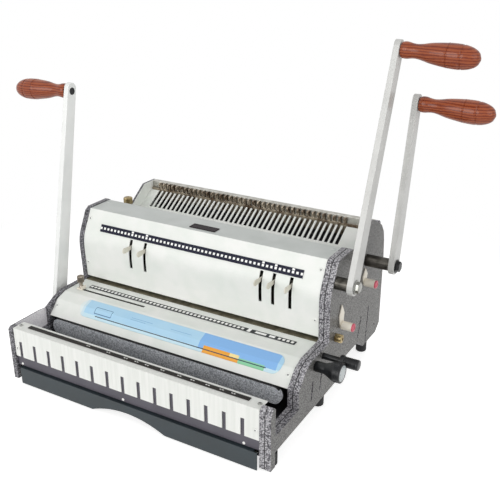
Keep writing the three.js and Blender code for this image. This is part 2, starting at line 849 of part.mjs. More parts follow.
for (const [side, name] of [[-1, 'press_guide_left'], [1, 'press_guide_right']]) {
  const middle = side * pushRodSpread;
  const front = pressBack + pressGuideSetBack;
  const body = block(middle - pressGuideWidth / 2, middle + pressGuideWidth / 2,
    front, front + pressGuideDepth, panTop + seat, pressGuideTop);
  const bore = rodY(pushRodRadius + slideClearance, middle, front - overrun,
    front + pressGuideDepth + overrun, pushRodZ);
  piece(name, cut(body, bore), steel());
}

// Table sheet with the side guide's slot
const tableSection = foldedSection([
  [tableLip, tableLipTop],
  [tableSlopeEnd, tableSlopeTop],
  [tableShoulderEnd, tableShoulderTop],
  [tableRear, tableTop],
], sheet);
const guideSlot = block(guideSlotX, guideSlotX + guideSlotLength,
  guideSlotY - guideSlotWidth / 2, guideSlotY + guideSlotWidth / 2,
  tableShoulderTop - 2 * sheet - overrun, tableTop + overrun);
piece('table_cover', cut(sweepX(tableSection, -panHalf, panHalf), guideSlot), offWhitePaint());

// A thin plate that lies on a slope, placed by the middle of its underside
function plateOnSlope(name, outline, thickness, angle, x, y, z, material) {
  const plate = new THREE.ExtrudeGeometry(outline, {
    depth: thickness,
    bevelEnabled: false,
    curveSegments: armEndSteps,
  });
  const mesh = piece(name, plate, material);
  mesh.rotation.x = angle;
  mesh.position.set(x, y - Math.sin(angle) * seat, z + Math.cos(angle) * seat);
  return mesh;
}

function rectangle(length, width) {
  return shapeOf([
    [-length / 2, -width / 2],
    [length / 2, -width / 2],
    [length / 2, width / 2],
    [-length / 2, width / 2],
  ]);
}

// The instruction plate has round ends and bends over the table's two front facets.
const instructionRadius = instructionDepth / 2;
const instructionStraight = instructionLength / 2 - instructionRadius;
const instructionShape = new THREE.Shape();
instructionShape.moveTo(-instructionStraight, -instructionRadius);
instructionShape.lineTo(instructionStraight, -instructionRadius);
instructionShape.absarc(instructionStraight, 0, instructionRadius, -Math.PI / 2, Math.PI / 2, false);
instructionShape.lineTo(-instructionStraight, instructionRadius);
instructionShape.absarc(-instructionStraight, 0, instructionRadius, Math.PI / 2, 3 * Math.PI / 2, false);
const instructionPrism = new THREE.ExtrudeGeometry(instructionShape, {
  depth: tableTop,
  bevelEnabled: false,
  curveSegments: armEndSteps,
});
instructionPrism.translate(instructionOffset, tableLip + instructionInset + instructionRadius, overrun);
const instructionLift = seat + instructionThickness;
const instructionSheet = sweepX(foldedSection([
  [tableLip, tableLipTop + instructionLift * Math.SQRT2],
  [tableSlopeEnd - instructionLift / 2, tableSlopeTop + instructionLift],
  [tableShoulderEnd, tableShoulderTop + instructionLift],
], instructionThickness), -halfInner, halfInner);
piece('instruction_plate', geometryOf(solidOf(instructionSheet).intersect(solidOf(instructionPrism))),
  printedBlue());
plateOnSlope('table_scale', rectangle(scaleLength, scaleDepth), scaleThickness, flatAngle,
  scaleOffset, tableRear - scaleFromRear, tableTop - scaleFromRear * Math.tan(flatAngle), ivoryPlastic());

// Side guide: a bracket on the table and its knurled screw through the slot
const bracketX = guideSlotX + guideSlotWidth;
const guideSeatZ = tableTop - (guideSlotFromRear - bracketDepth / 2) * Math.tan(flatAngle) + seat;
const bracketTop = guideSeatZ + bracketThickness;
const bracketBase = block(bracketX - bracketLength / 2, bracketX + bracketLength / 2,
  guideSlotY - bracketDepth / 2, guideSlotY + bracketDepth / 2, guideSeatZ, bracketTop);
const bracketFence = block(bracketX + bracketLength / 2 - fenceThickness, bracketX + bracketLength / 2,
  guideSlotY - bracketDepth / 2, guideSlotY + bracketDepth / 2,
  bracketTop - bracketThickness / 2, bracketTop + fenceHeight);

// A turned piece along +Z, from [height, radius] points
function turnedZ(profile, x, y, z, sides = smallRoundSides) {
  const turned = turnedX(profile, sides);
  turned.rotateY(-Math.PI / 2);
  turned.translate(x, y, z);
  return turned;
}

const bracketHole = turnedZ([
  [0, 0],
  [0, guideScrewRadius + slideClearance],
  [guideScrewReach, guideScrewRadius + slideClearance],
  [guideScrewReach, 0],
], bracketX, guideSlotY, guideSeatZ - guideScrewReach / 2);
piece('guide_bracket', cut(joined(bracketBase, bracketFence), bracketHole), ivoryPlastic());
const guideCollarTop = guideScrewReach + guideScrewCollarHeight;
piece('guide_screw', turnedZ([
  [0, 0],
  [0, guideScrewRadius],
  [guideScrewReach, guideScrewRadius],
  [guideScrewReach, guideScrewCollarRadius],
  [guideCollarTop, guideScrewCollarRadius],
  [guideCollarTop, guideScrewHeadRadius],
  [guideCollarTop + guideScrewHeadHeight, guideScrewHeadRadius],
  [guideCollarTop + guideScrewHeadHeight, 0],
], bracketX, guideSlotY, bracketTop + seat - guideScrewReach), brass());

// Die block and pin guide: one square hole for every pin
function pinTools(width, fromZ, toZ) {
  return row(holeCount, (place) => {
    const x = holeFirstX + place * holePitch;
    return block(x - width / 2, x + width / 2, pinY - width / 2, pinY + width / 2, fromZ, toZ);
  });
}
const holeWidth = pinWidth + 2 * pinClearance;
piece('die_block', cut(block(-panHalf, panHalf, dieFront, dieBack, dieBottom, tableTop),
  pinTools(holeWidth, dieBottom - overrun, tableTop + overrun)), darkSteel());
piece('pin_guide', cut(block(-panHalf, panHalf, pinGuideFront, pinGuideFront + pinGuideDepth,
  pinGuideBottom, pinGuideTop), pinTools(holeWidth, pinGuideBottom - overrun, pinGuideTop + overrun)),
steel());

// Pin bar, notched for the pull tabs
const tabX = tabPinNumbers.map((number) => holeFirstX + number * holePitch);
const tabNotches = tabX.map((x) => block(
  x - tabThickness / 2 - slideClearance, x + tabThickness / 2 + slideClearance,
  punchBarFront - overrun, punchBarFront + tabInset + slideClearance,
  tabMiddle - tabRootHeight / 2 - slideClearance, tabMiddle + tabRootHeight / 2 + slideClearance));
const punchBarBody = block(-panHalf + seat, panHalf - seat, punchBarFront,
  punchBarFront + punchBarDepth, punchBarBottom, punchBarTop);
const pins = row(holeCount, (place) => {
  const x = holeFirstX + place * holePitch;
  return block(x - pinWidth / 2, x + pinWidth / 2, pinY - pinWidth / 2, pinY + pinWidth / 2,
    pinBottom, punchBarBottom + overrun);
});
piece('punch_bar', cut(joined(punchBarBody, pins), ...tabNotches), darkSteel());

// Pull tabs: flat keys with a round outer end, drawn lengthwise and turned to point at the user
const keyToMachine = new THREE.Matrix4().makeBasis(
  new THREE.Vector3(0, -1, 0),
  new THREE.Vector3(0, 0, 1),
  new THREE.Vector3(-1, 0, 0),
);
const tabShape = new THREE.Shape();
tabShape.moveTo(0, -tabRootHeight / 2);
tabShape.lineTo(tabNeck, -tabRootHeight / 2);
tabShape.lineTo(tabLength - tabHeight / 2, -tabHeight / 2);
tabShape.absarc(tabLength - tabHeight / 2, 0, tabHeight / 2, -Math.PI / 2, Math.PI / 2, false);
tabShape.lineTo(tabNeck, tabRootHeight / 2);
tabShape.lineTo(0, tabRootHeight / 2);
tabX.forEach((x, place) => {
  const key = new THREE.ExtrudeGeometry(tabShape, {
    depth: tabThickness,
    bevelEnabled: false,
    curveSegments: armEndSteps,
  });
  key.applyMatrix4(keyToMachine);
  key.translate(tabThickness / 2, 0, 0);
  const mesh = piece(`pull_tab_${place + 1}`, key, ivoryPlastic());
  mesh.position.set(x, punchBarFront + tabInset, tabMiddle);
});

// Punch cover: one folded sheet with five tab slots
const coverSection = foldedSection([
  [coverFoot, coverFootTop],
  [coverFace, coverFaceLow],
  ...easedBend([[coverFace, coverFaceLow], [coverFace, coverFaceTop], [coverTopFront, coverTop]],
    coverBend),
  [coverTopFront, coverTop],
  [coverTopRear, coverTop],
  [coverTopRear, coverTop - coverRearDrop],
], sheet);
const tabSlots = tabX.map((x) => block(
  x - tabSlotWidth / 2, x + tabSlotWidth / 2,
  coverFace - overrun, coverFace + coverSlopeRun / 2, tabSlotBottom, tabSlotTop));
piece('punch_cover', cut(sweepX(coverSection, -panHalf, panHalf), ...tabSlots), offWhitePaint());
const rulerLength = holeSpan + 2 * rulerEndMargin;
plateOnSlope('hole_ruler', rectangle(rulerLength, rulerHeight), rulerThickness, coverSlopeAngle,
  holeFirstX + holeSpan / 2,
  coverFace + rulerAlongSlope * Math.cos(coverSlopeAngle),
  coverFaceTop + rulerAlongSlope * Math.sin(coverSlopeAngle), blackPlastic());
plateOnSlope('badge_plate', rectangle(badgeLength, badgeDepth), badgeThickness, 0,
  0, coverTopFront + badgeFromFront, coverTop, blackPlastic());

// Slotted comb: a deck that rises into a row of fingers
const combSection = foldedSection([
  [combDeckFront, combDeckTop],
  [combSlopeStart, combDeckTop],
  [combTipY, combTipZ],
], sheet);
const combSlots = row(combSlotCount, (place) => {
  const x = combFirstX + place * combSlotPitch;
  const slot = block(x - combSlotWidth / 2, x + combSlotWidth / 2,
    -combSlotLength, combSlotLength / 2, -2 * sheet - overrun, overrun);
  slot.rotateX(combAngle);
  slot.translate(0, combTipY, combTipZ);
  return slot;
});
piece('comb_plate', cut(sweepX(combSection, -panHalf, panHalf), combSlots), offWhitePaint());

// Hook bar: a strip behind the fingers with one hook in each slot
const hookBarBack = hookBarFront + hookBarThickness;
const hookTipFront = hookBarFront - hookReach;
const hookStrip = block(-panHalf + seat, panHalf - seat, hookBarFront, hookBarBack,
  hookBarTop - hookBarHeight, hookBarTop);
const hooks = row(combSlotCount, (place) => {
  const x = combFirstX + place * combSlotPitch;
  return sweepX([
    [hookBarBack, hookBarTop - hookThickness],
    [hookBarBack, hookTop - hookChamfer],
    [hookBarBack - hookChamfer, hookTop],
    [hookTipFront + hookChamfer, hookTop],
    [hookTipFront, hookTop - hookChamfer],
    [hookTipFront, hookTop - hookDrop],
    [hookTipFront + hookChamfer, hookTop - hookDrop],
    [hookTipFront + hookThickness, hookTop - hookThickness],
    [hookBarFront + seat, hookTop - hookThickness],
    [hookBarFront + seat, hookBarTop - hookThickness],
  ].reverse(), x - hookWidth / 2, x + hookWidth / 2);
});
piece('hook_bar', joined(hookStrip, hooks), brass());

// Top bar behind the hooks, and the rear cover below it
const topBarSection = foldedSection([
  [hookBarBack + seat, topBarTop - topBarFlange],
  [hookBarBack + seat, topBarTop],
  [rearCoverBack, topBarTop],
], sheet);
piece('comb_top_bar', sweepX(topBarSection, -panHalf, panHalf), hammertoneGrey());
piece('rear_cover', block(-panHalf, panHalf, rearCoverBack - sheet, rearCoverBack,
  rearCoverBottom, topBarTop - sheet - seat), hammertone());

// Lever arm: a flat bar, round at both ends, standing along +Z from its pivot
function armOutline(length) {
  const points = [];
  for (let step = 0; step <= armEndSteps; step += 1) {
    const turn = Math.PI * step / armEndSteps;
    points.push([-Math.cos(turn) * armPivotWidth / 2, -Math.sin(turn) * armPivotWidth / 2]);
  }
  for (let step = 0; step <= armEndSteps; step += 1) {
    const turn = Math.PI * step / armEndSteps;
    points.push([Math.cos(turn) * armTipWidth / 2,
      length + armTipBeyond + Math.sin(turn) * armTipWidth / 2]);
  }
  return points;
}

// Turned wooden grip from its arm face outwards: [share of length, share of largest radius]
const gripShares = [
  [0, 0.6], [0.03, 0.66], [0.08, 0.67], [0.12, 0.63], [0.18, 0.585], [0.25, 0.64], [0.37, 0.8],
  [0.5, 0.91], [0.595, 0.965], [0.605, 0.93], [0.615, 0.97], [0.68, 1], [0.77, 0.97], [0.78, 0.93],
  [0.79, 0.96], [0.89, 0.82], [0.965, 0.56], [1, 0.2],
];

function gripGeometry() {
  const outside = gripShares.map(([along, out]) => new THREE.Vector2(out * gripRadius, along * gripLength));
  const closed = [
    new THREE.Vector2(gripBoreRadius, 0),
    ...outside,
    new THREE.Vector2(0, gripLength),
    new THREE.Vector2(0, gripLength * gripBoreShare),
    new THREE.Vector2(gripBoreRadius, gripLength * gripBoreShare),
    new THREE.Vector2(gripBoreRadius, 0),
  ];
  const wood = new THREE.LatheGeometry(closed, smallRoundSides);
  wood.rotateZ(-Math.PI / 2);
  return wood;
}

// A lever on its pivot: side is 1 where the grip points to +X, -1 where it points to -X.
// The grip and its spindle droop a little towards their outer end.
function lever(name, side, pivotY, pivotZ, innerX, length, lean) {
  const pivot = new THREE.Group();
  pivot.position.set(side * innerX, pivotY, pivotZ);
  pivot.rotation.x = -THREE.MathUtils.degToRad(lean);
  machine.add(pivot);
  const droop = THREE.MathUtils.degToRad(gripDroopAngle);
  const bar = sweepX(armOutline(length), 0, armThickness);
  const spindleLength = armThickness / 2 + seat + gripLength * gripBoreShare - spindleTipGap;
  const spindle = rodX(spindleRadius, 0, spindleLength, 0, 0, smallRoundSides);
  spindle.rotateY(droop);
  spindle.translate(armThickness / 2, 0, length);
  const arm = joined(bar, spindle);
  const grip = gripGeometry();
  grip.translate(armThickness / 2 + seat + gripRadius * Math.sin(droop), 0, 0);
  grip.rotateY(droop);
  grip.translate(armThickness / 2, 0, length);
  const washer = rodX(leverWasherRadius, 0, leverWasherThickness, 0, 0, smallRoundSides);
  const hexBody = rodX(leverBoltRadius, 0, leverBoltHeight, 0, 0, hexSides);
  const bolt = joined(washer, hexBody);
  bolt.translate(armThickness + seat, 0, 0);
  if (side < 0) {
    for (const geometry of [arm, grip, bolt]) {
      geometry.rotateZ(Math.PI);
    }
  }
  piece(`${name}_lever_arm`, arm, leverPaint(), pivot);
  piece(`${name}_grip`, grip, redWood(), pivot);
  piece(`${name}_lever_bolt`, bolt, name === 'rear' ? blackPlastic() : steel(), pivot);
}

lever('left', -1, closerShaftY, closerShaftZ, plateOuter + leftArmStandOff, leftArmLength,
  leftArmLeanAngle);
lever('front', 1, punchShaftY, punchShaftTop, casingOuter + frontArmStandOff, frontArmLength,
  frontArmLeanAngle);
lever('rear', 1, combShaftY, combShaftZ, casingOuter + rearArmStandOff, rearArmLength, rearArmLeanAngle);

// Closer shaft with two cranks
const crankOutline = [];
for (let step = 0; step <= armEndSteps; step += 1) {
  const turn = Math.PI * step / armEndSteps;
  crankOutline.push([-Math.cos(turn) * closerShaftRadius * 1.5, -Math.sin(turn) * closerShaftRadius * 1.5]);
}
for (let step = 0; step <= armEndSteps; step += 1) {
  const turn = Math.PI * step / armEndSteps;
  crankOutline.push([Math.cos(turn) * crankEyeRadius,
    crankLength - crankEyeRadius + Math.sin(turn) * crankEyeRadius]);
}
const cranks = [-crankSpread, crankSpread].map((x) => {
  const crank = sweepX(crankOutline, x - crankThickness / 2, x + crankThickness / 2);
  crank.translate(0, closerShaftY, closerShaftZ);
  return crank;
});
piece('closer_shaft', joined(
  rodX(closerShaftRadius, -plateOuter - leftArmStandOff + seat, plateOuter - seat,
    closerShaftY, closerShaftZ),
  rodX(sleeveRadius, -plateOuter - leftArmStandOff + seat, -plateOuter - seat,
    closerShaftY, closerShaftZ),
  ...cranks,
), darkSteel());

// Punch shaft with cams that look half forwards at rest and down when the lever is pulled
const camTurn = THREE.MathUtils.degToRad(60);
const cams = Array.from({ length: camCount }, (_, place) => {
  const x = -camSpread / 2 + place * camSpread / (camCount - 1);
  return rodX(camRadius, x - camThickness / 2, x + camThickness / 2,
    punchShaftY - Math.sin(camTurn) * camOffset, punchShaftTop - Math.cos(camTurn) * camOffset);
});
piece('punch_shaft', joined(
  rodX(punchShaftRadius, -plateOuter + seat, casingOuter + frontArmStandOff - seat,
    punchShaftY, punchShaftTop),
  rodX(sleeveRadius, casingOuter + seat, casingOuter + frontArmStandOff - seat,
    punchShaftY, punchShaftTop),
  ...cams,
), darkSteel());
piece('comb_shaft', joined(
  rodX(combShaftRadius, halfInner + seat, casingOuter + rearArmStandOff - seat, combShaftY, combShaftZ),
  rodX(sleeveRadius, casingOuter + seat, casingOuter + rearArmStandOff - seat, combShaftY, combShaftZ),
), darkSteel());

// Depth stop rod across the throat, and the two selector knobs with their pointers
const knobSeat = casingOuter + seat;
const knobStart = knobSeat + pointerThickness + seat;
piece('depth_stop_rod', joined(
  rodX(stopRodRadius, -plateOuter + seat, knobStart - seat, frontKnobY, frontKnobZ),
  rodX(stopRodRadius, -halfInner + overrun, halfInner - overrun, frontKnobY + stopRodOffset, frontKnobZ),
), steel());

function selectorKnob(name, y, z, fromX) {
  piece(name, turnedX([
    [0, 0],
    [0, knobRadius],
    [knobLength, knobRadius],
    [knobLength, knobCapRadius],
    [knobLength + knobCapLength, knobCapRadius],
    [knobLength + knobCapLength, 0],
  ]), ivoryPlastic()).position.set(fromX, y, z);
}

function pointerGeometry(length) {
  const points = [[0, length], [-pointerHalfWidth, length / 2]];
  for (let step = 1; step < armEndSteps; step += 1) {
    const turn = Math.PI * (1 + step / armEndSteps);
    points.push([Math.cos(turn) * pointerHubRadius, Math.sin(turn) * pointerHubRadius]);
  }
  points.push([pointerHalfWidth, length / 2]);
  return points;
}

function selectorPointer(name, length, tilt, y, z, bore) {
  const holes = bore > 0 ? [{ y: 0, z: 0, radius: bore }] : [];
  const mesh = piece(name, sweepX(pointerGeometry(length), 0, pointerThickness, holes), ivoryPlastic());
  mesh.rotation.x = THREE.MathUtils.degToRad(tilt);
  mesh.position.set(knobSeat, y, z);
}

selectorPointer('front_depth_pointer', frontPointerLength, frontPointerTiltAngle, frontKnobY, frontKnobZ,
  stopRodRadius + slideClearance);
selectorKnob('front_depth_knob', frontKnobY, frontKnobZ, knobStart);
selectorPointer('rear_depth_pointer', rearPointerLength, 0, rearKnobY, rearKnobZ,
  stopRodRadius + slideClearance);
piece('rear_depth_knob', joined(
  turnedX([
    [0, 0],
    [0, knobRadius],
    [knobLength, knobRadius],
    [knobLength, knobCapRadius],
    [knobLength + knobCapLength, knobCapRadius],
    [knobLength + knobCapLength, 0],
  ]).translate(knobStart, rearKnobY, rearKnobZ),
  rodX(stopRodRadius, halfInner + seat, knobStart + overrun, rearKnobY, rearKnobZ),
), ivoryPlastic());

// Brass lock screw, size dial and release rod
piece('lock_screw', turnedX([
  [0, 0],
  [0, lockScrewStem],
  [casingThickness, lockScrewStem],
  [casingThickness, lockScrewRadius],
  [casingThickness + lockScrewLength, lockScrewRadius],
  [casingThickness + lockScrewLength, 0],
], smallRoundSides), brass()).position.set(knobSeat - casingThickness, lockScrewY, lockScrewZ);
const dialInside = knobSeat - halfInner - seat;
const dialHead = dialInside + dialNeckLength + dialFlareLength;
piece('size_dial', turnedX([
  [0, 0],
  [0, dialSpindleRadius],
  [dialInside, dialSpindleRadius],
  [dialInside, dialNeckRadius],
  [dialInside + dialNeckLength, dialNeckRadius],
  [dialHead, dialRadius],
  [dialHead + dialLength, dialRadius],
  [dialHead + dialLength, 0],
]), blackPlastic()).position.set(halfInner + seat, dialY, dialZ);
const releaseStart = halfInner - releaseInside;
const releaseShaftEnd = casingOuter + releaseLength - releaseGripLength - releaseRingLength - releaseStart;
const releaseRingEnd = releaseShaftEnd + releaseRingLength;
piece('release_rod', turnedX([
  [0, 0],
  [0, releaseCollarRadius],
  [releaseCollarLength, releaseCollarRadius],
  [releaseCollarLength, releaseRadius],
  [releaseShaftEnd, releaseRadius],
  [releaseShaftEnd, releaseRingRadius],
  [releaseRingEnd, releaseRingRadius],
  [releaseRingEnd, releaseGripRadius],
  [releaseRingEnd + releaseGripLength, releaseGripRadius],
  [releaseRingEnd + releaseGripLength, 0],
], smallRoundSides), blackPlastic()).position.set(releaseStart, releaseY, releaseZ);

// Thumb screw that stands in the dip of the left side plate
piece('unit_screw', turnedZ([
  [0, 0],
  [0, unitScrewStem],
  [unitScrewStemHeight, unitScrewStem],
  [unitScrewStemHeight, unitScrewRadius],
  [unitScrewStemHeight + unitScrewHeight, unitScrewRadius],
  [unitScrewStemHeight + unitScrewHeight, 0],
], -halfInner - webThickness / 2, (valleyStart + valleyEnd) / 2 + unitScrewStem, valleyTop + seat), brass());

// Rubber feet under the side plates, and two longer ones under the pan at the back
function foot(name, x, y, height) {
  piece(name, turnedZ([
    [0, 0],
    [0, footRadius - footTaper],
    [footTaper, footRadius],
    [height, footRadius],
    [height, 0],
  ], x, y, 0), blackRubber());
}
for (const [side, label] of [[-1, 'left'], [1, 'right']]) {
  foot(`front_foot_${label}`, side * plateMiddle, frontFace + frontFootSetBack,
    channelBottom - seat);
  foot(`middle_foot_${label}`, side * halfInner, middleFootY, channelBottom - seat);
  foot(`rear_foot_${label}`, side * (halfInner - rearFootInset), rearFootY, panBottom - seat);
}

// The whole machine stands on the desk, centred on its own box.
const extent = new THREE.Box3().setFromObject(machine);
machine.position.set(-(extent.min.x + extent.max.x) / 2, -(extent.min.y + extent.max.y) / 2, -extent.min.z);

const bindingMachine = new THREE.Group();
bindingMachine.add(machine);
bindingMachine.updateMatrixWorld(true);

export default bindingMachine;
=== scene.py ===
"""Looks of a desk binding machine: punch unit, wire closer and element opener.

Sizes are in millimetres in the layout of the part (x to the right, y away from the person using
it, z up from the desk) and become metres only where a mesh is made.
"""
import math

import bmesh
import bpy
from mathutils import Matrix, Vector
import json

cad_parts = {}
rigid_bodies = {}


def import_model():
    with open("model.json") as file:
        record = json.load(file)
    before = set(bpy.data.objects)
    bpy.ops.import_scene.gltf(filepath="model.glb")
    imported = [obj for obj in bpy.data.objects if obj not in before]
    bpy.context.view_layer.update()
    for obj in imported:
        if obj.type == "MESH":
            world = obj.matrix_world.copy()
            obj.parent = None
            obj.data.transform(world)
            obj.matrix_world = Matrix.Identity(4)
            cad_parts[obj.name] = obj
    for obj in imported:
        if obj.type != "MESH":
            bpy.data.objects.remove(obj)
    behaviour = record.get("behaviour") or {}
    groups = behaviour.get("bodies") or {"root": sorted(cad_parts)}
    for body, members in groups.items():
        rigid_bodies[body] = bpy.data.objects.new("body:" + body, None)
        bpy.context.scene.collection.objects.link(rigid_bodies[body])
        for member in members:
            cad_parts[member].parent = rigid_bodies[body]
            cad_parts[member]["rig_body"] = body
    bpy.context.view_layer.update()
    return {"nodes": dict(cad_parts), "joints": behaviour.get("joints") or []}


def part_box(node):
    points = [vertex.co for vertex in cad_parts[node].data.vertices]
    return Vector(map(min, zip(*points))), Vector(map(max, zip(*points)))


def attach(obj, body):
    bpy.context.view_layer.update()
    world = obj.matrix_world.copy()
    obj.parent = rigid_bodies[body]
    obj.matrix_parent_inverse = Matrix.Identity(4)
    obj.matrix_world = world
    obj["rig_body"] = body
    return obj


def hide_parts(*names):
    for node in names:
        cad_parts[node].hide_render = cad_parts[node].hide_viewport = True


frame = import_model()

MM = 0.001
# The front rail shows how far the frame stands from the layout
RAIL_FRONT = -169.9
rail_low, rail_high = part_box("front_rail")
SHIFT = Vector(((rail_low.x + rail_high.x) / 2, rail_low.y - RAIL_FRONT * MM, 0))
JOINTS = {joint["name"]: joint for joint in frame["joints"]}
X_AXIS, Z_AXIS = 0, 2
RIGHT = Vector((1, 0, 0))
UP = Vector((0, 0, 1))
DOWN = Vector((0, 0, -1))
FRONT = Vector((0, -1, 0))


def at(x, y, z):
    """A point of the part's layout as a place in the frame."""
    return Vector((x, y, z)) * MM + SHIFT


# Camera and studio

CAMERA_AZIMUTH = 29.86
CAMERA_ELEVATION = 22.79
CAMERA_PLACE = (543.4, -800.6, 587.9)
FOCAL_PIXELS = 751
IMAGE_PIXELS = 500
SENSOR = 36
CLIP_NEAR, CLIP_FAR = 0.02, 30

scene = bpy.context.scene
scene.view_settings.view_transform = "Standard"

bpy.ops.object.select_all(action="DESELECT")
bpy.ops.object.camera_add(
    location=at(*CAMERA_PLACE),
    rotation=(math.radians(90 - CAMERA_ELEVATION), 0, math.radians(CAMERA_AZIMUTH)),
)
camera = bpy.context.object
camera.name = "photo_camera"
camera.data.sensor_width = SENSOR
camera.data.lens = FOCAL_PIXELS / IMAGE_PIXELS * SENSOR
camera.data.clip_start = CLIP_NEAR
camera.data.clip_end = CLIP_FAR
scene.camera = camera


def colour(code):
    """An sRGB hex code as linear red, green, blue and alpha."""
    parts = [int(code[i:i + 2], 16) / 255 for i in (0, 2, 4)]
    return [p / 12.92 if p <= 0.04045 else ((p + 0.055) / 1.055) ** 2.4 for p in parts] + [1]


def add(tree, kind, links=None, **settings):
    """Adds a node with its settings; links gives each socket a value or another node's output."""
    node = tree.nodes.new(kind)
    for name, value in settings.items():
        setattr(node, name, value)
    for socket, value in (links or {}).items():
        if isinstance(value, bpy.types.NodeSocket):
            tree.links.new(value, node.inputs[socket])
        else:
            node.inputs[socket].default_value = value
    return node


def seen(tree):
    """1 for the camera's rays and for mirror images, 0 for rays that only carry light."""
    rays = add(tree, "ShaderNodeLightPath")
    mirrored = add(tree, "ShaderNodeMath", operation="MAXIMUM", links={
        0: rays.outputs["Is Glossy Ray"], 1: rays.outputs["Is Transmission Ray"]})
    either = add(tree, "ShaderNodeMath", operation="MAXIMUM", links={
        0: rays.outputs["Is Camera Ray"], 1: mirrored.outputs[0]})
    return either.outputs[0]


def sun(name, strength, towards, softness):
    """A soft sun; towards points from the object to the lamp, softness is its width in degrees."""
    bpy.ops.object.light_add(type="SUN", location=Vector(towards) * 2)
    lamp = bpy.context.object
    lamp.name = name
    lamp.data.energy = strength
    lamp.data.angle = math.radians(softness)
    lamp.rotation_euler = Vector(towards).to_track_quat("Z", "Y").to_euler()


sun("front_softbox", 1.28, (-0.25, -0.87, 0.27), 40)
sun("right_softbox", 0.8, (0.85, -0.35, 0.4), 50)

# The sky lights the machine at AMBIENT and looks white itself
AMBIENT = 0.56
world = bpy.data.worlds.new("white_studio")
scene.world = world
world.use_nodes = True
world.node_tree.nodes.clear()
level = add(world.node_tree, "ShaderNodeMapRange", links={
    "Value": seen(world.node_tree), "To Min": AMBIENT, "To Max": 1.0})
sky = add(world.node_tree, "ShaderNodeBackground", links={
    "Color": (1, 1, 1, 1), "Strength": level.outputs[0]})
add(world.node_tree, "ShaderNodeOutputWorld", links={"Surface": sky.outputs[0]})

FLOOR_SIZE = 30
FLOOR_LIFT = 0.66
SHADOW_NEAR, SHADOW_FAR = 0.3, 0.75


def studio_floor():
    """A pale floor that keeps the shadow near the machine and turns to plain white further out."""
    bpy.ops.mesh.primitive_plane_add(size=FLOOR_SIZE, location=(0, 0, 0))
    floor = bpy.context.object
    floor.name = "studio_floor"
    material = bpy.data.materials.new("pale_floor")
    material.use_nodes = True
    tree = material.node_tree
    tree.nodes.clear()
    visible = seen(tree)
    place = add(tree, "ShaderNodeTexCoord")
    distance = add(tree, "ShaderNodeVectorMath", operation="LENGTH", links={
        0: place.outputs["Object"]})
    far = add(tree, "ShaderNodeMapRange", interpolation_type="SMOOTHSTEP", links={
        "Value": distance.outputs["Value"], "From Min": SHADOW_NEAR, "From Max": SHADOW_FAR})
    far_seen = add(tree, "ShaderNodeMath", operation="MULTIPLY", links={
        0: far.outputs[0], 1: visible})
    lift = add(tree, "ShaderNodeMath", operation="MULTIPLY", links={0: visible, 1: FLOOR_LIFT})
    matt = add(tree, "ShaderNodeBsdfDiffuse", links={"Color": colour("f2f2f1")})
    glow = add(tree, "ShaderNodeEmission", links={"Strength": lift.outputs[0]})
    near = add(tree, "ShaderNodeAddShader", links={0: matt.outputs[0], 1: glow.outputs[0]})
    white = add(tree, "ShaderNodeEmission", links={"Strength": 1.0})
    mixed = add(tree, "ShaderNodeMixShader", links={
        0: far_seen.outputs[0], 1: near.outputs[0], 2: white.outputs[0]})
    add(tree, "ShaderNodeOutputMaterial", links={"Surface": mixed.outputs[0]})
    floor.data.materials.append(material)


studio_floor()

# Materials


def new_surface(name, **shader):
    """A material with a Principled shader; returns the material, its tree, shader and place."""
    material = bpy.data.materials.new(name)
    material.use_nodes = True
    tree = material.node_tree
    tree.nodes.clear()
    coat = add(tree, "ShaderNodeBsdfPrincipled")
    for socket, value in shader.items():
        coat.inputs[socket.replace("_", " ")].default_value = value
    add(tree, "ShaderNodeOutputMaterial", links={"Surface": coat.outputs[0]})
    place = add(tree, "ShaderNodeTexCoord")
    return material, tree, coat, place.outputs["Object"]


# The enamel's tone is the sum of its dimples, grit and clouds, and can reach this much
TONE_SPAN = 2.0


def hammer_enamel(name, dark, mid, light, cell_mm, depth_mm, contrast=0.16, centre=1.08):
    """Hammer-finish enamel sprayed on steel: small round dimples whose rims catch the light,
    with darker pigment in the hollows. The real dimples are under 1 mm, too fine to show, and
    are drawn at cell_mm."""
    material, tree, coat, place = new_surface(name, Roughness=0.42, IOR=1.5)
    cells = add(tree, "ShaderNodeTexVoronoi", links={"Vector": place, "Scale": 1 / (cell_mm * MM)})
    grit = add(tree, "ShaderNodeTexNoise", links={
        "Vector": place, "Scale": 1.6 / (cell_mm * MM), "Detail": 2.0})
    clouds = add(tree, "ShaderNodeTexNoise", links={"Vector": place, "Scale": 40.0, "Detail": 3.0})
    speck = add(tree, "ShaderNodeMath", operation="MULTIPLY_ADD", links={
        0: grit.outputs[0], 1: 0.9, 2: cells.outputs["Distance"]})
    tone = add(tree, "ShaderNodeMath", operation="MULTIPLY_ADD", links={
        0: clouds.outputs[0], 1: 0.25, 2: speck.outputs[0]})
    share = add(tree, "ShaderNodeMath", operation="DIVIDE", links={
        0: tone.outputs[0], 1: TONE_SPAN})
    ramp = add(tree, "ShaderNodeValToRGB", links={"Fac": share.outputs[0]})
    stops = ramp.color_ramp.elements
    stops[0].position = (centre - contrast) / TONE_SPAN
    stops[0].color = colour(light)
    stops[1].position = (centre + contrast) / TONE_SPAN
    stops[1].color = colour(dark)
    middle = stops.new(centre / TONE_SPAN)
    middle.color = colour(mid)
    tree.links.new(ramp.outputs["Color"], coat.inputs["Base Color"])
    relief = add(tree, "ShaderNodeBump", invert=True, links={
        "Height": speck.outputs[0], "Distance": depth_mm * MM, "Strength": 0.8})
    tree.links.new(relief.outputs["Normal"], coat.inputs["Normal"])
    return material


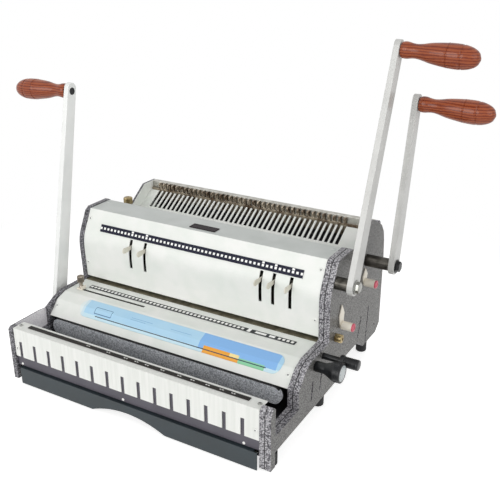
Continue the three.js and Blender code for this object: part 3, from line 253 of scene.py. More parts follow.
def satin_enamel(name, base, shade, roughness=0.38, streak=None):
    """Satin stoved enamel on sheet steel: an even pale colour with a faint cloudiness and the
    slight orange peel of sprayed paint, 1.4 mm across. streak draws faint upright wipe marks."""
    material, tree, coat, place = new_surface(name, Roughness=roughness, IOR=1.5)
    mapped = add(tree, "ShaderNodeMapping", links={"Vector": place, "Scale": streak or (1, 1, 1)})
    clouds = add(tree, "ShaderNodeTexNoise", links={
        "Vector": mapped.outputs[0], "Scale": 28.0 if streak is None else 220.0, "Detail": 4.0})
    ramp = add(tree, "ShaderNodeValToRGB", links={"Fac": clouds.outputs[0]})
    ramp.color_ramp.elements[0].position = 0.35
    ramp.color_ramp.elements[0].color = colour(shade)
    ramp.color_ramp.elements[1].position = 0.62
    ramp.color_ramp.elements[1].color = colour(base)
    tree.links.new(ramp.outputs["Color"], coat.inputs["Base Color"])
    peel = add(tree, "ShaderNodeTexNoise", links={"Vector": place, "Scale": 700.0, "Detail": 1.0})
    relief = add(tree, "ShaderNodeBump", links={
        "Height": peel.outputs[0], "Distance": 0.08 * MM, "Strength": 0.5})
    tree.links.new(relief.outputs["Normal"], coat.inputs["Normal"])
    gloss = add(tree, "ShaderNodeMapRange", links={
        "Value": clouds.outputs[0], "To Min": roughness - 0.06, "To Max": roughness + 0.08})
    tree.links.new(gloss.outputs[0], coat.inputs["Roughness"])
    return material


def moulded_plastic(name, base, worn, roughness, grain_mm=0.6, bump=0.4, sheen=0.5):
    """Moulded plastic with the spark texture of its tool and a slightly paler worn tone. The real
    grain is about 0.1 mm, too fine to show, and is drawn at grain_mm. Printed film is the same
    with a coarser, almost flat grain."""
    material, tree, coat, place = new_surface(name, Roughness=roughness, IOR=1.49,
                                              Specular_IOR_Level=sheen)
    grain = add(tree, "ShaderNodeTexNoise", links={
        "Vector": place, "Scale": 1 / (grain_mm * MM), "Detail": 2.0})
    patches = add(tree, "ShaderNodeTexNoise", links={
        "Vector": place, "Scale": 60.0, "Detail": 3.0})
    ramp = add(tree, "ShaderNodeValToRGB", links={"Fac": patches.outputs[0]})
    ramp.color_ramp.elements[0].position = 0.4
    ramp.color_ramp.elements[0].color = colour(base)
    ramp.color_ramp.elements[1].position = 0.75
    ramp.color_ramp.elements[1].color = colour(worn)
    tree.links.new(ramp.outputs["Color"], coat.inputs["Base Color"])
    relief = add(tree, "ShaderNodeBump", links={
        "Height": grain.outputs[0], "Distance": 0.1 * MM, "Strength": bump})
    tree.links.new(relief.outputs["Normal"], coat.inputs["Normal"])
    return material


def turned_metal(name, base, dark, roughness, stretch=(1, 1, 1), scale=500.0, metallic=1.0):
    """Machined metal: tool marks that break up the reflection, drawn out along X by stretch, and
    darker oxide where hands and rags don't reach. The real marks are under 0.2 mm, too fine to
    show, and are drawn 1 to 2 mm apart."""
    material, tree, coat, place = new_surface(name, Metallic=metallic, Roughness=roughness)
    mapped = add(tree, "ShaderNodeMapping", links={"Vector": place, "Scale": stretch})
    marks = add(tree, "ShaderNodeTexNoise", links={
        "Vector": mapped.outputs[0], "Scale": scale, "Detail": 3.0})
    oxide = add(tree, "ShaderNodeTexNoise", links={"Vector": place, "Scale": 90.0, "Detail": 4.0})
    ramp = add(tree, "ShaderNodeValToRGB", links={"Fac": oxide.outputs[0]})
    ramp.color_ramp.elements[0].position = 0.38
    ramp.color_ramp.elements[0].color = colour(dark)
    ramp.color_ramp.elements[1].position = 0.62
    ramp.color_ramp.elements[1].color = colour(base)
    tree.links.new(ramp.outputs["Color"], coat.inputs["Base Color"])
    polish = add(tree, "ShaderNodeMapRange", links={
        "Value": marks.outputs[0], "To Min": roughness - 0.1, "To Max": roughness + 0.15})
    tree.links.new(polish.outputs[0], coat.inputs["Roughness"])
    relief = add(tree, "ShaderNodeBump", links={
        "Height": marks.outputs[0], "Distance": 0.05 * MM, "Strength": 0.6})
    tree.links.new(relief.outputs["Normal"], coat.inputs["Normal"])
    return material


def lacquered_wood():
    """Beech stained red-brown, turned and dipped in clear lacquer: dark grain lines about 3 mm
    apart along the handle, fine pores, and the soft highlight of the lacquer."""
    material, tree, coat, place = new_surface("stained_beech_lacquered", Roughness=0.4, IOR=1.5,
                                              Coat_Weight=0.3, Coat_Roughness=0.08,
                                              Specular_IOR_Level=0.2)
    mapped = add(tree, "ShaderNodeMapping", links={"Vector": place, "Scale": (0.12, 1, 1)})
    rings = add(tree, "ShaderNodeTexWave", wave_type="BANDS", bands_direction="Z", links={
        "Vector": mapped.outputs[0], "Scale": 95.0, "Distortion": 4.0, "Detail": 3.0,
        "Detail Scale": 1.6})
    pores = add(tree, "ShaderNodeTexNoise", links={
        "Vector": mapped.outputs[0], "Scale": 900.0, "Detail": 3.0})
    streaks = add(tree, "ShaderNodeMath", operation="MULTIPLY_ADD", links={
        0: pores.outputs[0], 1: 0.6, 2: rings.outputs[1]})
    ramp = add(tree, "ShaderNodeValToRGB", links={"Fac": streaks.outputs[0]})
    stops = ramp.color_ramp.elements
    stops[0].position = 0.22
    stops[0].color = colour("6a2915")
    stops[1].position = 1.0
    stops[1].color = colour("984d2b")
    middle = stops.new(0.6)
    middle.color = colour("81371c")
    tree.links.new(ramp.outputs["Color"], coat.inputs["Base Color"])
    relief = add(tree, "ShaderNodeBump", links={
        "Height": pores.outputs[0], "Distance": 0.1 * MM, "Strength": 0.35})
    tree.links.new(relief.outputs["Normal"], coat.inputs["Normal"])
    return material


LABEL_LEFT = -149.5
LABEL_RIGHT = 178.5
LABEL_FRONT = -120
LABEL_BACK = -60
# Left, right, front and back edge of each printed field in mm, and its colour
LABEL_FIELDS = [
    (LABEL_LEFT, LABEL_RIGHT, -93.2, -89.4, "c9e6f2"),
    (56, 172, -90.0, -70.0, "86b7ea"),
    (64, 118, -94.0, -86.6, "eda53c"),
    (104, 118, -90.2, -86.6, "f5e09a"),
    (118, 156, -93.2, -88.6, "8ccfa4"),
    (-118, 158, -90.6, -89.7, "2c3d52"),
    (-122, -92, -79.8, -79.0, "47739c"),
    (-122, -92, -87.8, -87.0, "47739c"),
    (-122, -121.2, -87.8, -79.0, "47739c"),
    (-92.8, -92, -87.8, -79.0, "47739c"),
    (-60, -24, -80.0, -79.3, "7fb0d6"),
    (-60, -34, -83.0, -82.3, "7fb0d6"),
    (6, 40, -80.0, -79.3, "7fb0d6"),
    (LABEL_LEFT, LABEL_LEFT + 6, LABEL_FRONT, LABEL_BACK, "e2ecec"),
    (LABEL_LEFT + 6, LABEL_LEFT + 10, LABEL_FRONT, LABEL_BACK, "cfe4ee"),
]
# The colour sockets of a Mix node, which share their names with its other sockets
UNDER, OVER, MIXED = 6, 7, 2


def label_film():
    """Printed label film over the table's front facets: pale blue, a deeper blue third, an
    orange and a green field, thin dark rules and an open square. Coloured fields only."""
    material, tree, coat, place = new_surface("printed_label_film", Roughness=0.3, IOR=1.46)
    parts = add(tree, "ShaderNodeSeparateXYZ", links={"Vector": place})
    fade = add(tree, "ShaderNodeTexNoise", links={"Vector": place, "Scale": 35.0, "Detail": 2.0})
    ground = add(tree, "ShaderNodeMix", data_type="RGBA", links={
        "Factor": fade.outputs[0], UNDER: colour("b9dcf0"), OVER: colour("a3cfec")})
    shown = ground.outputs[MIXED]
    for left, right, front, back, code in LABEL_FIELDS:
        low, high = at(left, front, 0), at(right, back, 0)
        across = add(tree, "ShaderNodeMath", operation="COMPARE", links={
            0: parts.outputs[0], 1: (low.x + high.x) / 2, 2: (high.x - low.x) / 2})
        deep = add(tree, "ShaderNodeMath", operation="COMPARE", links={
            0: parts.outputs[1], 1: (low.y + high.y) / 2, 2: (high.y - low.y) / 2})
        both = add(tree, "ShaderNodeMath", operation="MULTIPLY", links={
            0: across.outputs[0], 1: deep.outputs[0]})
        layer = add(tree, "ShaderNodeMix", data_type="RGBA", links={
            "Factor": both.outputs[0], UNDER: shown, OVER: colour(code)})
        shown = layer.outputs[MIXED]
    tree.links.new(shown, coat.inputs["Base Color"])
    return material


# Left plate: dark hammer enamel, the speckled near-black and grey of the plate's edges
dark_hammer = hammer_enamel("hammer_enamel_charcoal", "232227", "55545a", "9a999e",
                            cell_mm=2.2, depth_mm=0.4, contrast=0.3)
# Right plate and casing rims: the same enamel, sprayed with more silver
silver_hammer = hammer_enamel("hammer_enamel_silver", "323136", "817f84", "c4c3c6",
                              cell_mm=2.2, depth_mm=0.4, contrast=0.34)
# Inner face of the left plate: a calm violet white, pale paint lifted to almost pure white as
# painted light, since the face stands in shade
inner_pale_and_painted_light_hammer = hammer_enamel("hammer_enamel_lavender_painted_light", "e6e2e7", "f0edf1", "f6f4f6",
                             cell_mm=2.2, depth_mm=0.1)
# Flat outer sides: grey hammer enamel with a lower grain
grey_hammer = hammer_enamel("hammer_enamel_grey", "343332", "575654", "7d7c79",
                            cell_mm=2.2, depth_mm=0.2, contrast=0.3)
# Press plate: slate hammer enamel with a fine, low grain, paler than the paint as painted light,
# since the plate stands in shade behind the hanger
painted_light_slate_hammer = hammer_enamel("hammer_enamel_slate_painted_light", "989ba1", "bfc2c7", "dddfe3",
                             cell_mm=2.0, depth_mm=0.15, contrast=0.3)
# Near-black enamel: dust in the joint between plate and casing, and painted shade there and on the
# press plate's top edge under the table's lip
dust_and_painted_shade_enamel = satin_enamel("satin_enamel_dust_and_painted_shade", "1b1a1c", "141315", 0.6)
# Covers: warm white satin enamel
cover_enamel = satin_enamel("satin_enamel_warm_white", "ebece8", "e2e6e0")
# Top of the punch cover: the same enamel, greyer as painted shade, since the flat top takes less
# light than the face
painted_shade_top_enamel = satin_enamel("satin_enamel_top_painted_shade", "c9cdca", "bec3bf", 0.42)
# Hanger plate: the same enamel wiped upright, so it shows faint streaks
hanger_enamel = satin_enamel("satin_enamel_wiped", "e9eae6", "e1e3de", 0.4, streak=(1, 1, 0.06))
# Lever arms: the same gloss enamel, smoother than the covers, in a lit and a shaded copy: whiter
# on the left arm as painted light, greyer on the right pair as painted shade
shaded_lever_enamel = satin_enamel("gloss_enamel_white_painted_shade", "c6c6c3", "bcbcb9", 0.22)
lit_left_lever_enamel = satin_enamel("gloss_enamel_white_left_painted_light", "f0f1ef", "e8eae8", 0.22)
# Drawer front: smooth slate enamel with a low sheen
slate_enamel = satin_enamel("satin_enamel_slate", "273136", "212a2e", 0.46)
# Front rail: smooth enamel, nearly black with a violet cast
rail_enamel = satin_enamel("satin_enamel_violet_black", "4f4c55", "46434c", 0.45)
# Inner sheet metal in shadow
shadow_enamel = satin_enamel("satin_enamel_black", "2b2a2e", "232226", 0.5)
# Knobs, rod and bolt: black ABS with a soft gloss
black_plastic = moulded_plastic("moulded_abs_black", "0d0e10", "1b1d20", 0.33, sheen=0.35)
# Printed films, smooth and almost without gloss: each strip has a black of its own
print_black = moulded_plastic("printed_film_navy", "14162a", "1b1d30", 0.5, 1.5, 0.1, sheen=0.2)
scale_film = moulded_plastic("printed_film_grey_black", "2a2d2e", "33373a", 0.5, 1.5, 0.1,
                             sheen=0.25)
strip_film = moulded_plastic("printed_film_brown_black", "1d1712", "120f0f", 0.5, 1.5, 0.1,
                             sheen=0.25)
badge_film = moulded_plastic("badge_foil_bare", "1f181b", "291f23", 0.5, 1.5, 0.1, sheen=0.15)
print_white = moulded_plastic("printed_film_white", "eeeeea", "ffffff", 0.4, 1.5, 0.1)
# Acetal bracket, barrels and pointers: waxy ivory; the pull tabs are a duller sand
ivory_plastic = moulded_plastic("moulded_acetal_ivory", "e6dfd0", "f0ebdf", 0.32)
tab_plastic = moulded_plastic("moulded_acetal_sand", "d3cfc0", "e2dfd2", 0.38)
# End rings of the depth knobs: faded red ABS
red_plastic = moulded_plastic("moulded_abs_red", "c94f63", "d4697a", 0.35)
# Dial face: cool grey-white ABS under its printed marks
dial_face = moulded_plastic("printed_dial_face", "bcc3c4", "d0d5d5", 0.35)
# Feet: matt black rubber with an open grain
black_rubber = moulded_plastic("moulded_rubber_black", "1b1b1d", "2c2c2e", 0.75, 0.9, 0.6)
# Zinc plate: bright, with grey bloom
zinc_steel = turned_metal("zinc_plated_steel", "b9bab6", "85857f", 0.3)
# Blackened steel inside: dark, with marks drawn along the bars
dark_steel = turned_metal("blackened_steel", "5b5853", "35332f", 0.42, stretch=(0.05, 1, 1))
# Die block in the paper throat: olive-brown, dull steel, paler and less metallic than bare steel
# as painted light, since it stands in the throat's shade
painted_light_throat_steel = turned_metal("dull_tool_steel_painted_light", "8d8872", "6a6552", 0.42, stretch=(0.05, 1, 1),
                            metallic=0.3)
# Hooks: dull yellow-brown brass with dark patches
hook_brass = turned_metal("passivated_brass", "b0a493", "665648", 0.38, scale=700.0)
# Thumb screws: turned brass, a clear yellow with brown oxide in patches
knob_brass = turned_metal("turned_brass", "b5a47c", "7b6a48", 0.32, scale=800.0)
# Side guide screw: worn nickel plate, a warm grey with dark patches
nickel = turned_metal("worn_nickel_plate", "b5aca0", "6f665a", 0.3, scale=800.0)
# Top bar over the hooks: even pale grey phosphate with drawn marks
bar_steel = turned_metal("grey_phosphated_steel", "c2c1bb", "a6a49c", 0.45, stretch=(0.05, 1, 1))
red_wood = lacquered_wood()
label = label_film()

NODE_FINISHES = {
    dark_hammer: ["left_side_plate"],
    silver_hammer: ["right_side_plate", "right_casing"],
    painted_light_slate_hammer: ["press_plate"],
    shadow_enamel: ["base_pan", "rear_cover"],
    rail_enamel: ["front_rail"],
    cover_enamel: ["table_cover", "punch_cover", "comb_plate"],
    hanger_enamel: ["hanger_plate"],
    slate_enamel: ["drawer_front"],
    shaded_lever_enamel: ["front_lever_arm", "rear_lever_arm"],
    lit_left_lever_enamel: ["left_lever_arm"],
    black_plastic: ["size_dial", "release_rod", "rear_lever_bolt"],
    badge_film: ["badge_plate"],
    strip_film: ["size_strip"],
    print_black: ["hole_ruler"],
    scale_film: ["table_scale"],
    ivory_plastic: ["guide_bracket", "front_depth_knob", "rear_depth_knob", "front_depth_pointer",
                    "rear_depth_pointer"],
    tab_plastic: [f"pull_tab_{number}" for number in range(1, 6)],
    black_rubber: [f"{place}_foot_{side}" for place in ("front", "middle", "rear")
                   for side in ("left", "right")],
    zinc_steel: ["drawer_tray", "pin_guide", "left_lever_bolt", "front_lever_bolt",
                 "depth_stop_rod"],
    dark_steel: ["punch_bar", "closer_shaft", "punch_shaft", "comb_shaft", "press_guide_left",
                 "press_guide_right"],
    painted_light_throat_steel: ["die_block"],
    hook_brass: ["hook_bar"],
    bar_steel: ["comb_top_bar"],
    knob_brass: ["lock_screw", "unit_screw"],
    nickel: ["guide_screw"],
    red_wood: ["left_grip", "front_grip", "rear_grip"],
    label: ["instruction_plate"],
}
NODE_FINISH = {}
for finish, names in NODE_FINISHES.items():
    for name in names:
        NODE_FINISH[name] = finish
        for material_slot in frame["nodes"][name].material_slots:
            material_slot.material = finish
BODY_OF_NODE = {name: node["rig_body"] for name, node in frame["nodes"].items()}

# Modelling helpers


def deselect():
    """Object mode with nothing selected, so that an operator touches only the new piece."""
    if bpy.context.object is not None and bpy.context.object.mode != "OBJECT":
        bpy.ops.object.mode_set(mode="OBJECT")
    bpy.ops.object.select_all(action="DESELECT")


def pick(piece):
    """Selects one piece and nothing else."""
    deselect()
    bpy.context.view_layer.objects.active = piece
    piece.select_set(True)


def select_where(piece, faces=None, edges=None):
    """In edit mode, selects the faces or edges for which the test holds, and nothing else."""
    mesh = bmesh.from_edit_mesh(piece.data)
    for part in (*mesh.verts, *mesh.edges, *mesh.faces):
        part.select = False
    for part in (mesh.faces if faces else mesh.edges):
        if (faces or edges)(part):
            part.select_set(True)
    mesh.select_flush_mode()
    bmesh.update_edit_mesh(piece.data)


def finish_piece(piece, name, finish, body, smooth=30):
    """Names, smooths and paints a piece, puts its place in its mesh and lets it ride."""
    pick(piece)
    piece.name = name
    bpy.ops.object.transform_apply(location=True, rotation=True, scale=True)
    bpy.ops.object.shade_smooth_by_angle(angle=math.radians(smooth))
    piece.data.materials.clear()
    piece.data.materials.append(finish)
    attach(piece, body)


def replace_node(piece, name, node, smooth=30):
    """Finishes a piece as the node that it stands for."""
    finish_piece(piece, name, NODE_FINISH[node], BODY_OF_NODE[node], smooth)
    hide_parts(node)


MERGE_DISTANCE = 0.002
FLAT_ANGLE = math.radians(0.8)
SHARP_ANGLE = math.radians(35)


def softened(node, width, segments=2, shortest=2.5, split_y=None):
    """The node's own shape with its longer sharp edges rounded, as paint and forming leave them.
    split_y parts its faces there, so that each side can have its own finish."""
    pick(frame["nodes"][node])
    bpy.ops.object.duplicate()
    piece = bpy.context.object
    piece.parent = None
    # The copy is a piece of its own and doesn't keep the labels of the CAD node
    for key in list(piece.keys()):
        del piece[key]
    bpy.ops.object.mode_set(mode="EDIT")
    bpy.ops.mesh.select_all(action="SELECT")
    bpy.ops.mesh.customdata_custom_splitnormals_clear()
    bpy.ops.mesh.remove_doubles(threshold=MERGE_DISTANCE * MM)
    bpy.ops.mesh.dissolve_limited(angle_limit=FLAT_ANGLE)
    if split_y is not None:
        bpy.ops.mesh.select_all(action="SELECT")
        bpy.ops.mesh.bisect(plane_co=at(0, split_y, 0), plane_no=(0, 1, 0))
    select_where(piece, edges=lambda edge: len(edge.link_faces) == 2
                 and edge.calc_length() > shortest * MM
                 and edge.calc_face_angle() > SHARP_ANGLE)
    bpy.ops.mesh.bevel(offset=width * MM, segments=segments, affect="EDGES", clamp_overlap=True)
    bpy.ops.object.mode_set(mode="OBJECT")
    replace_node(piece, f"{node}_softened", node)
    pick(piece)
    bpy.ops.object.modifier_add(type="WEIGHTED_NORMAL")
    piece.modifiers[-1].keep_sharp = True
    bpy.ops.object.modifier_apply(modifier=piece.modifiers[-1].name)
    return piece


def start_and_length(node, axis):
    """The middle of a turned node's lower end along an axis, and its length in mm."""
    low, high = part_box(node)
    start = (low + high) / 2
    start[axis] = low[axis]
    return start, (high[axis] - low[axis]) / MM


def turned(start, direction, profile, sides=48):
    """A turned piece, made ring by ring from [along, radius] in mm; start is its first centre."""
    deselect()
    bpy.ops.mesh.primitive_circle_add(
        vertices=sides, radius=profile[0][1] * MM, fill_type="NGON",
        location=start + direction * profile[0][0] * MM,
        rotation=direction.to_track_quat("Z", "Y").to_euler())
    piece = bpy.context.object
    bpy.ops.object.transform_apply(location=True, rotation=True, scale=True)
    bpy.ops.object.mode_set(mode="EDIT")
    bpy.ops.mesh.select_all(action="SELECT")
    for (before, radius_before), (along, radius) in zip(profile, profile[1:]):
        bpy.ops.mesh.extrude_region_move(
            TRANSFORM_OT_translate={"value": direction * (along - before) * MM})
        scale = radius / radius_before
        bpy.ops.transform.resize(value=(scale, scale, scale),
                                 center_override=start + direction * along * MM)
    bpy.ops.mesh.select_all(action="SELECT")
    bpy.ops.mesh.normals_make_consistent(inside=False)
    bpy.ops.object.mode_set(mode="OBJECT")
    return piece


KNURL_GAP = 0.25
# How much of a face's normal points a certain way, for the tests that pick faces
MOSTLY_SIDEWAYS = 0.9
MOSTLY_UP = 0.7
HARDLY_ALONG = 0.3


def knurl(piece, start, direction, near, far, depth):
    """Raises a pad on each side face between two distances along a turned piece."""
    pick(piece)
    bpy.ops.object.mode_set(mode="EDIT")

    def on_grip(face):
        along = (face.calc_center_median() - start).dot(direction) / MM
        return near < along < far and abs(face.normal.dot(direction)) < HARDLY_ALONG
    select_where(piece, faces=on_grip)
    bpy.ops.mesh.inset(thickness=KNURL_GAP * MM, use_individual=True)
    bpy.ops.transform.shrink_fatten(value=-depth * MM)
    bpy.ops.object.mode_set(mode="OBJECT")


def smooth_profile(points, count):
    """A smooth line through [along, radius] points, in count steps."""
    line = []
    for step in range(count + 1):
        along = points[0][0] + (points[-1][0] - points[0][0]) * step / count
        here = max(i for i in range(len(points) - 1) if points[i][0] <= along + 1e-9)
        before, left = points[max(here - 1, 0)], points[here]
        right, after = points[here + 1], points[min(here + 2, len(points) - 1)]
        run = right[0] - left[0]
        share = (along - left[0]) / run
        slope_left = (right[1] - before[1]) / max(right[0] - before[0], 1e-6) * run
        slope_right = (after[1] - left[1]) / max(after[0] - left[0], 1e-6) * run
        square, cube = share ** 2, share ** 3
        radius = ((2 * cube - 3 * square + 1) * left[1] + (cube - 2 * square + share) * slope_left
                  + (3 * square - 2 * cube) * right[1] + (cube - square) * slope_right)
        line.append((along, radius))
    return line


def printed(low, high, place, tilt=0.0, bevel=0.05, count=1, pitch=0.0):
    """A thin print with softened edges between two corners in mm from a place, tilted there
    about the X axis; count of them stand pitch mm apart along X, as one mesh."""
    deselect()
    low, high = Vector(low) * MM, Vector(high) * MM
    bpy.ops.mesh.primitive_cube_add(size=1, location=(low + high) / 2, scale=high - low)
    piece = bpy.context.object
    bpy.ops.object.transform_apply(location=True, rotation=True, scale=True)
    bpy.ops.object.mode_set(mode="EDIT")
    bpy.ops.mesh.select_all(action="SELECT")
    bpy.ops.mesh.bevel(offset=bevel * MM, segments=1, affect="EDGES", clamp_overlap=True)
    bpy.ops.object.mode_set(mode="OBJECT")
    if count > 1:
        bpy.ops.object.modifier_add(type="ARRAY")
        row = piece.modifiers[-1]
        row.count = count
        row.use_relative_offset = False
        row.use_constant_offset = True
        row.constant_offset_displace = (pitch * MM, 0, 0)
        bpy.ops.object.modifier_apply(modifier=row.name)
    piece.data.transform(Matrix.Translation(place) @ Matrix.Rotation(tilt, 4, "X"))
    return piece


# Painted sheet and bar with softened edges


def paint_sides(piece, right_finish, left_finish=None):
    """Gives the faces that look along X finishes of their own, one for each way."""
    piece.data.materials.append(right_finish)
    piece.data.materials.append(left_finish or right_finish)
    for polygon in piece.data.polygons:
        if abs(polygon.normal.x) > MOSTLY_SIDEWAYS:
            polygon.material_index = 1 if polygon.normal.x > 0 else 2


def paint_top(piece, finish):
    """Gives the faces that look up a finish of their own; on the punch cover and the press plate
    this finish is painted shade.
    """
    piece.data.materials.append(finish)
    for polygon in piece.data.polygons:
        if polygon.normal.z > MOSTLY_UP:
            polygon.material_index = len(piece.data.materials) - 1


SEAM_X = 202.95
SEAM_HALF_WIDTH = 0.9
SEAM_SLANT_LOW, SEAM_SLANT_HIGH = 0.25, 0.95


def darken_seam(piece):
    """Gives the small edge faces along the joint of plate and casing a dark finish: dust and
    painted shade.
    """
    piece.data.materials.append(dust_and_painted_shade_enamel)
    last = len(piece.data.materials) - 1
    seam = at(SEAM_X, 0, 0).x
    for polygon in piece.data.polygons:
        beside = abs(polygon.center.x - seam) < SEAM_HALF_WIDTH * MM
        if beside and SEAM_SLANT_LOW < abs(polygon.normal.x) < SEAM_SLANT_HIGH:
            polygon.material_index = last


# The left plate is pale inside where it is thin (pale paint, lifted further as painted light),
# dark where it is thick under the thick part, 1 inner side, 2 outer side, 3 beside the comb plate
LEFT_SPLIT_Y = 60
LEFT_STEP_X = -198
left_plate = softened("left_side_plate", 0.9, split_y=LEFT_SPLIT_Y)
paint_sides(left_plate, inner_pale_and_painted_light_hammer, grey_hammer)
left_plate.data.materials.append(cover_enamel)
split = at(LEFT_STEP_X, LEFT_SPLIT_Y, 0)
for polygon in left_plate.data.polygons:
    if polygon.material_index == 1 and polygon.center.x > split.x:
        polygon.material_index = 0 if polygon.center.y < split.y else 3
darken_seam(softened("right_side_plate", 0.9))
casing = softened("right_casing", 0.9)
paint_sides(casing, grey_hammer)
darken_seam(casing)
# The punch cover's upward faces take the greyer enamel: painted shade
paint_top(softened("punch_cover", 0.35), painted_shade_top_enamel)
softened("hanger_plate", 0.5)
softened("drawer_front", 0.5)
# The press plate's top edge, under the table's lip, is painted near-black as shade
paint_top(softened("press_plate", 0.9), dust_and_painted_shade_enamel)
softened("table_cover", 0.35)
softened("comb_plate", 0.3, shortest=1.2)
softened("hook_bar", 0.3, shortest=1.2)
softened("comb_top_bar", 0.4)
softened("rear_cover", 0.4)
softened("drawer_tray", 0.3)
for lever in ("left", "front", "rear"):
    softened(f"{lever}_lever_arm", 1.1, segments=3, shortest=1.5)
for lever in ("left", "front", "rear"):
    softened(f"{lever}_lever_bolt", 0.5, shortest=1.5)
for number in range(1, 6):
    softened(f"pull_tab_{number}", 0.35, shortest=0.3)
for knob in ("front", "rear"):
    softened(f"{knob}_depth_pointer", 0.35, shortest=1.0)
softened("guide_bracket", 0.4, shortest=1.5)

# Feet: turned rubber with a rounded tread and a screw recess under it
for place in ("front", "middle", "rear"):
    for side in ("left", "right"):
        node = f"{place}_foot_{side}"
        low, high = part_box(node)
        centre = Vector(((low.x + high.x) / 2, (low.y + high.y) / 2, high.z))
        height = (high.z - low.z) / MM
        radius = (high.x - low.x) / 2 / MM
        foot = turned(centre, DOWN, [
            (0, radius), (height - 2.2, radius), (height - 1.0, radius - 0.25),
            (height - 0.3, radius - 0.9), (height, radius - 1.8), (height, 2.6),
            (height - 1.6, 2.4)], 40)
        replace_node(foot, f"{node}_rubber", node)

# Wooden grips: along and radius as shares of their length and largest radius

GRIP_LENGTH = 96
GRIP_RADIUS = 15
GRIP_FACE = 5.085
GRIP_RINGS = 44
GRIP_SHARES = [
    (0, 0.6), (0.015, 0.66), (0.05, 0.69), (0.09, 0.67), (0.13, 0.615), (0.19, 0.585),
    (0.26, 0.64), (0.37, 0.8), (0.5, 0.915), (0.6, 0.975), (0.68, 1), (0.77, 0.985),
    (0.85, 0.9), (0.91, 0.77), (0.955, 0.6), (0.985, 0.38), (1, 0.12),
]
GROOVE_SHARES = (0.605, 0.78)
GROOVE_CLEARANCE = 1.4
GROOVE_RIM, GROOVE_FLOOR, GROOVE_DEPTH = 0.9, 0.35, 0.7
for name in ("left", "front", "rear"):
    joint = JOINTS[f"{name}_grip_spin"]
    axis = Vector(joint["axis"]).normalized()
    face = Vector(joint["pos_m"]) + axis * GRIP_FACE * MM
    profile = [(along * GRIP_LENGTH, radius * GRIP_RADIUS)
               for along, radius in smooth_profile(GRIP_SHARES, GRIP_RINGS)]
    for groove in GROOVE_SHARES:
        middle = groove * GRIP_LENGTH
        profile = [point for point in profile if abs(point[0] - middle) > GROOVE_CLEARANCE]
        radius = min(profile, key=lambda point: abs(point[0] - middle))[1]
        profile += [(middle - GROOVE_RIM, radius), (middle - GROOVE_FLOOR, radius - GROOVE_DEPTH),
                    (middle + GROOVE_FLOOR, radius - GROOVE_DEPTH), (middle + GROOVE_RIM, radius)]
    profile.sort()
    replace_node(turned(face, axis, profile, 56), f"{name}_grip_turned", f"{name}_grip", smooth=50)

# Riveted spindle end on the left arm's inner face: a dark socket in a thin ring
left_pin = Vector(JOINTS["left_grip_spin"]["pos_m"])
arm_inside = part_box("left_lever_arm")[1].x
socket_ring = turned(Vector((arm_inside, left_pin.y, left_pin.z)), RIGHT, [
    (0, 5.2), (0.3, 5.2), (0.5, 4.9), (0.5, 3.6), (0.12, 3.3), (0.1, 0.2)], 32)
finish_piece(socket_ring, "left_arm_spindle_socket", black_plastic, "left_lever")

# Depth knobs: ivory barrels with a red end ring and a shallow round recess in the end; the rear
# one has a short spindle
KNOB_X = 213.0
SPINDLE_X = 195.3
KNOB_PLACES = {"front": (19.3, 112.8), "rear": (95.9, 143.9)}
for name, (y, z) in KNOB_PLACES.items():
    node = f"{name}_depth_knob"
    low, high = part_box(node)
    length = (high.x - at(KNOB_X, 0, 0).x) / MM
    start = at(KNOB_X, y, z)
    barrel = turned(start, RIGHT, [
        (0, 5.4), (0.5, 5.8), (length - 2.8, 5.8), (length - 2.4, 5.6)], 40)
    knurl(barrel, start, RIGHT, 1, length - 3.4, 0.12)
    replace_node(barrel, f"{name}_depth_barrel", node)
    cap = turned(start, RIGHT, [
        (length - 2.4, 5.5), (length - 2.2, 5.75), (length - 0.8, 5.75), (length - 0.3, 5.4),
        (length, 4.8), (length, 3.2), (length - 0.7, 3.0), (length - 0.7, 0.2)], 40)
    finish_piece(cap, f"{name}_depth_cap", red_plastic, BODY_OF_NODE[node])
    if name == "rear":
        stub = turned(at(SPINDLE_X, y, z), RIGHT, [(0, 4), (KNOB_X - SPINDLE_X + 0.2, 4)], 24)
        finish_piece(stub, "rear_depth_spindle", zinc_steel, BODY_OF_NODE[node])

# Knurled screws: lock screw, side guide screw and the unit's thumb screw
start, length = start_and_length("lock_screw", X_AXIS)
lock = turned(start, RIGHT, [
    (0, 3), (7.8, 3), (7.9, 5.2), (8.3, 5.7), (length - 1.2, 5.7), (length - 0.4, 5.3),
    (length, 4.6), (length, 2.2), (length - 1.2, 2.0), (length - 1.2, 0.2)], 32)
knurl(lock, start, RIGHT, 8.6, length - 1.4, 0.3)
replace_node(lock, "lock_screw_knurled", "lock_screw")

start, length = start_and_length("guide_screw", Z_AXIS)
guide = turned(start, UP, [
    (0, 1.0), (0.3, 1.2), (8, 1.2), (8.05, 3.0), (9.2, 3.3), (10.4, 2.7), (15.4, 2.7),
    (16.6, 3.2), (17.0, 4.7), (17.5, 5.1), (length - 1.3, 5.1), (length - 0.5, 4.7),
    (length, 3.9), (length, 2.0), (length - 0.8, 1.8)], 32)
knurl(guide, start, UP, 17.6, length - 1.5, 0.2)
replace_node(guide, "guide_screw_knurled", "guide_screw")

start, length = start_and_length("unit_screw", Z_AXIS)
unit = turned(start, UP, [
    (0, 1.8), (0.2, 2.0), (4, 2.0), (4.1, 6.6), (4.7, 7.2), (length - 1.4, 7.2),
    (length - 0.5, 6.7), (length, 5.6), (length, 2.2), (length - 0.7, 2.0)], 32)
knurl(unit, start, UP, 4.9, length - 1.6, 0.25)
replace_node(unit, "unit_screw_knurled", "unit_screw")

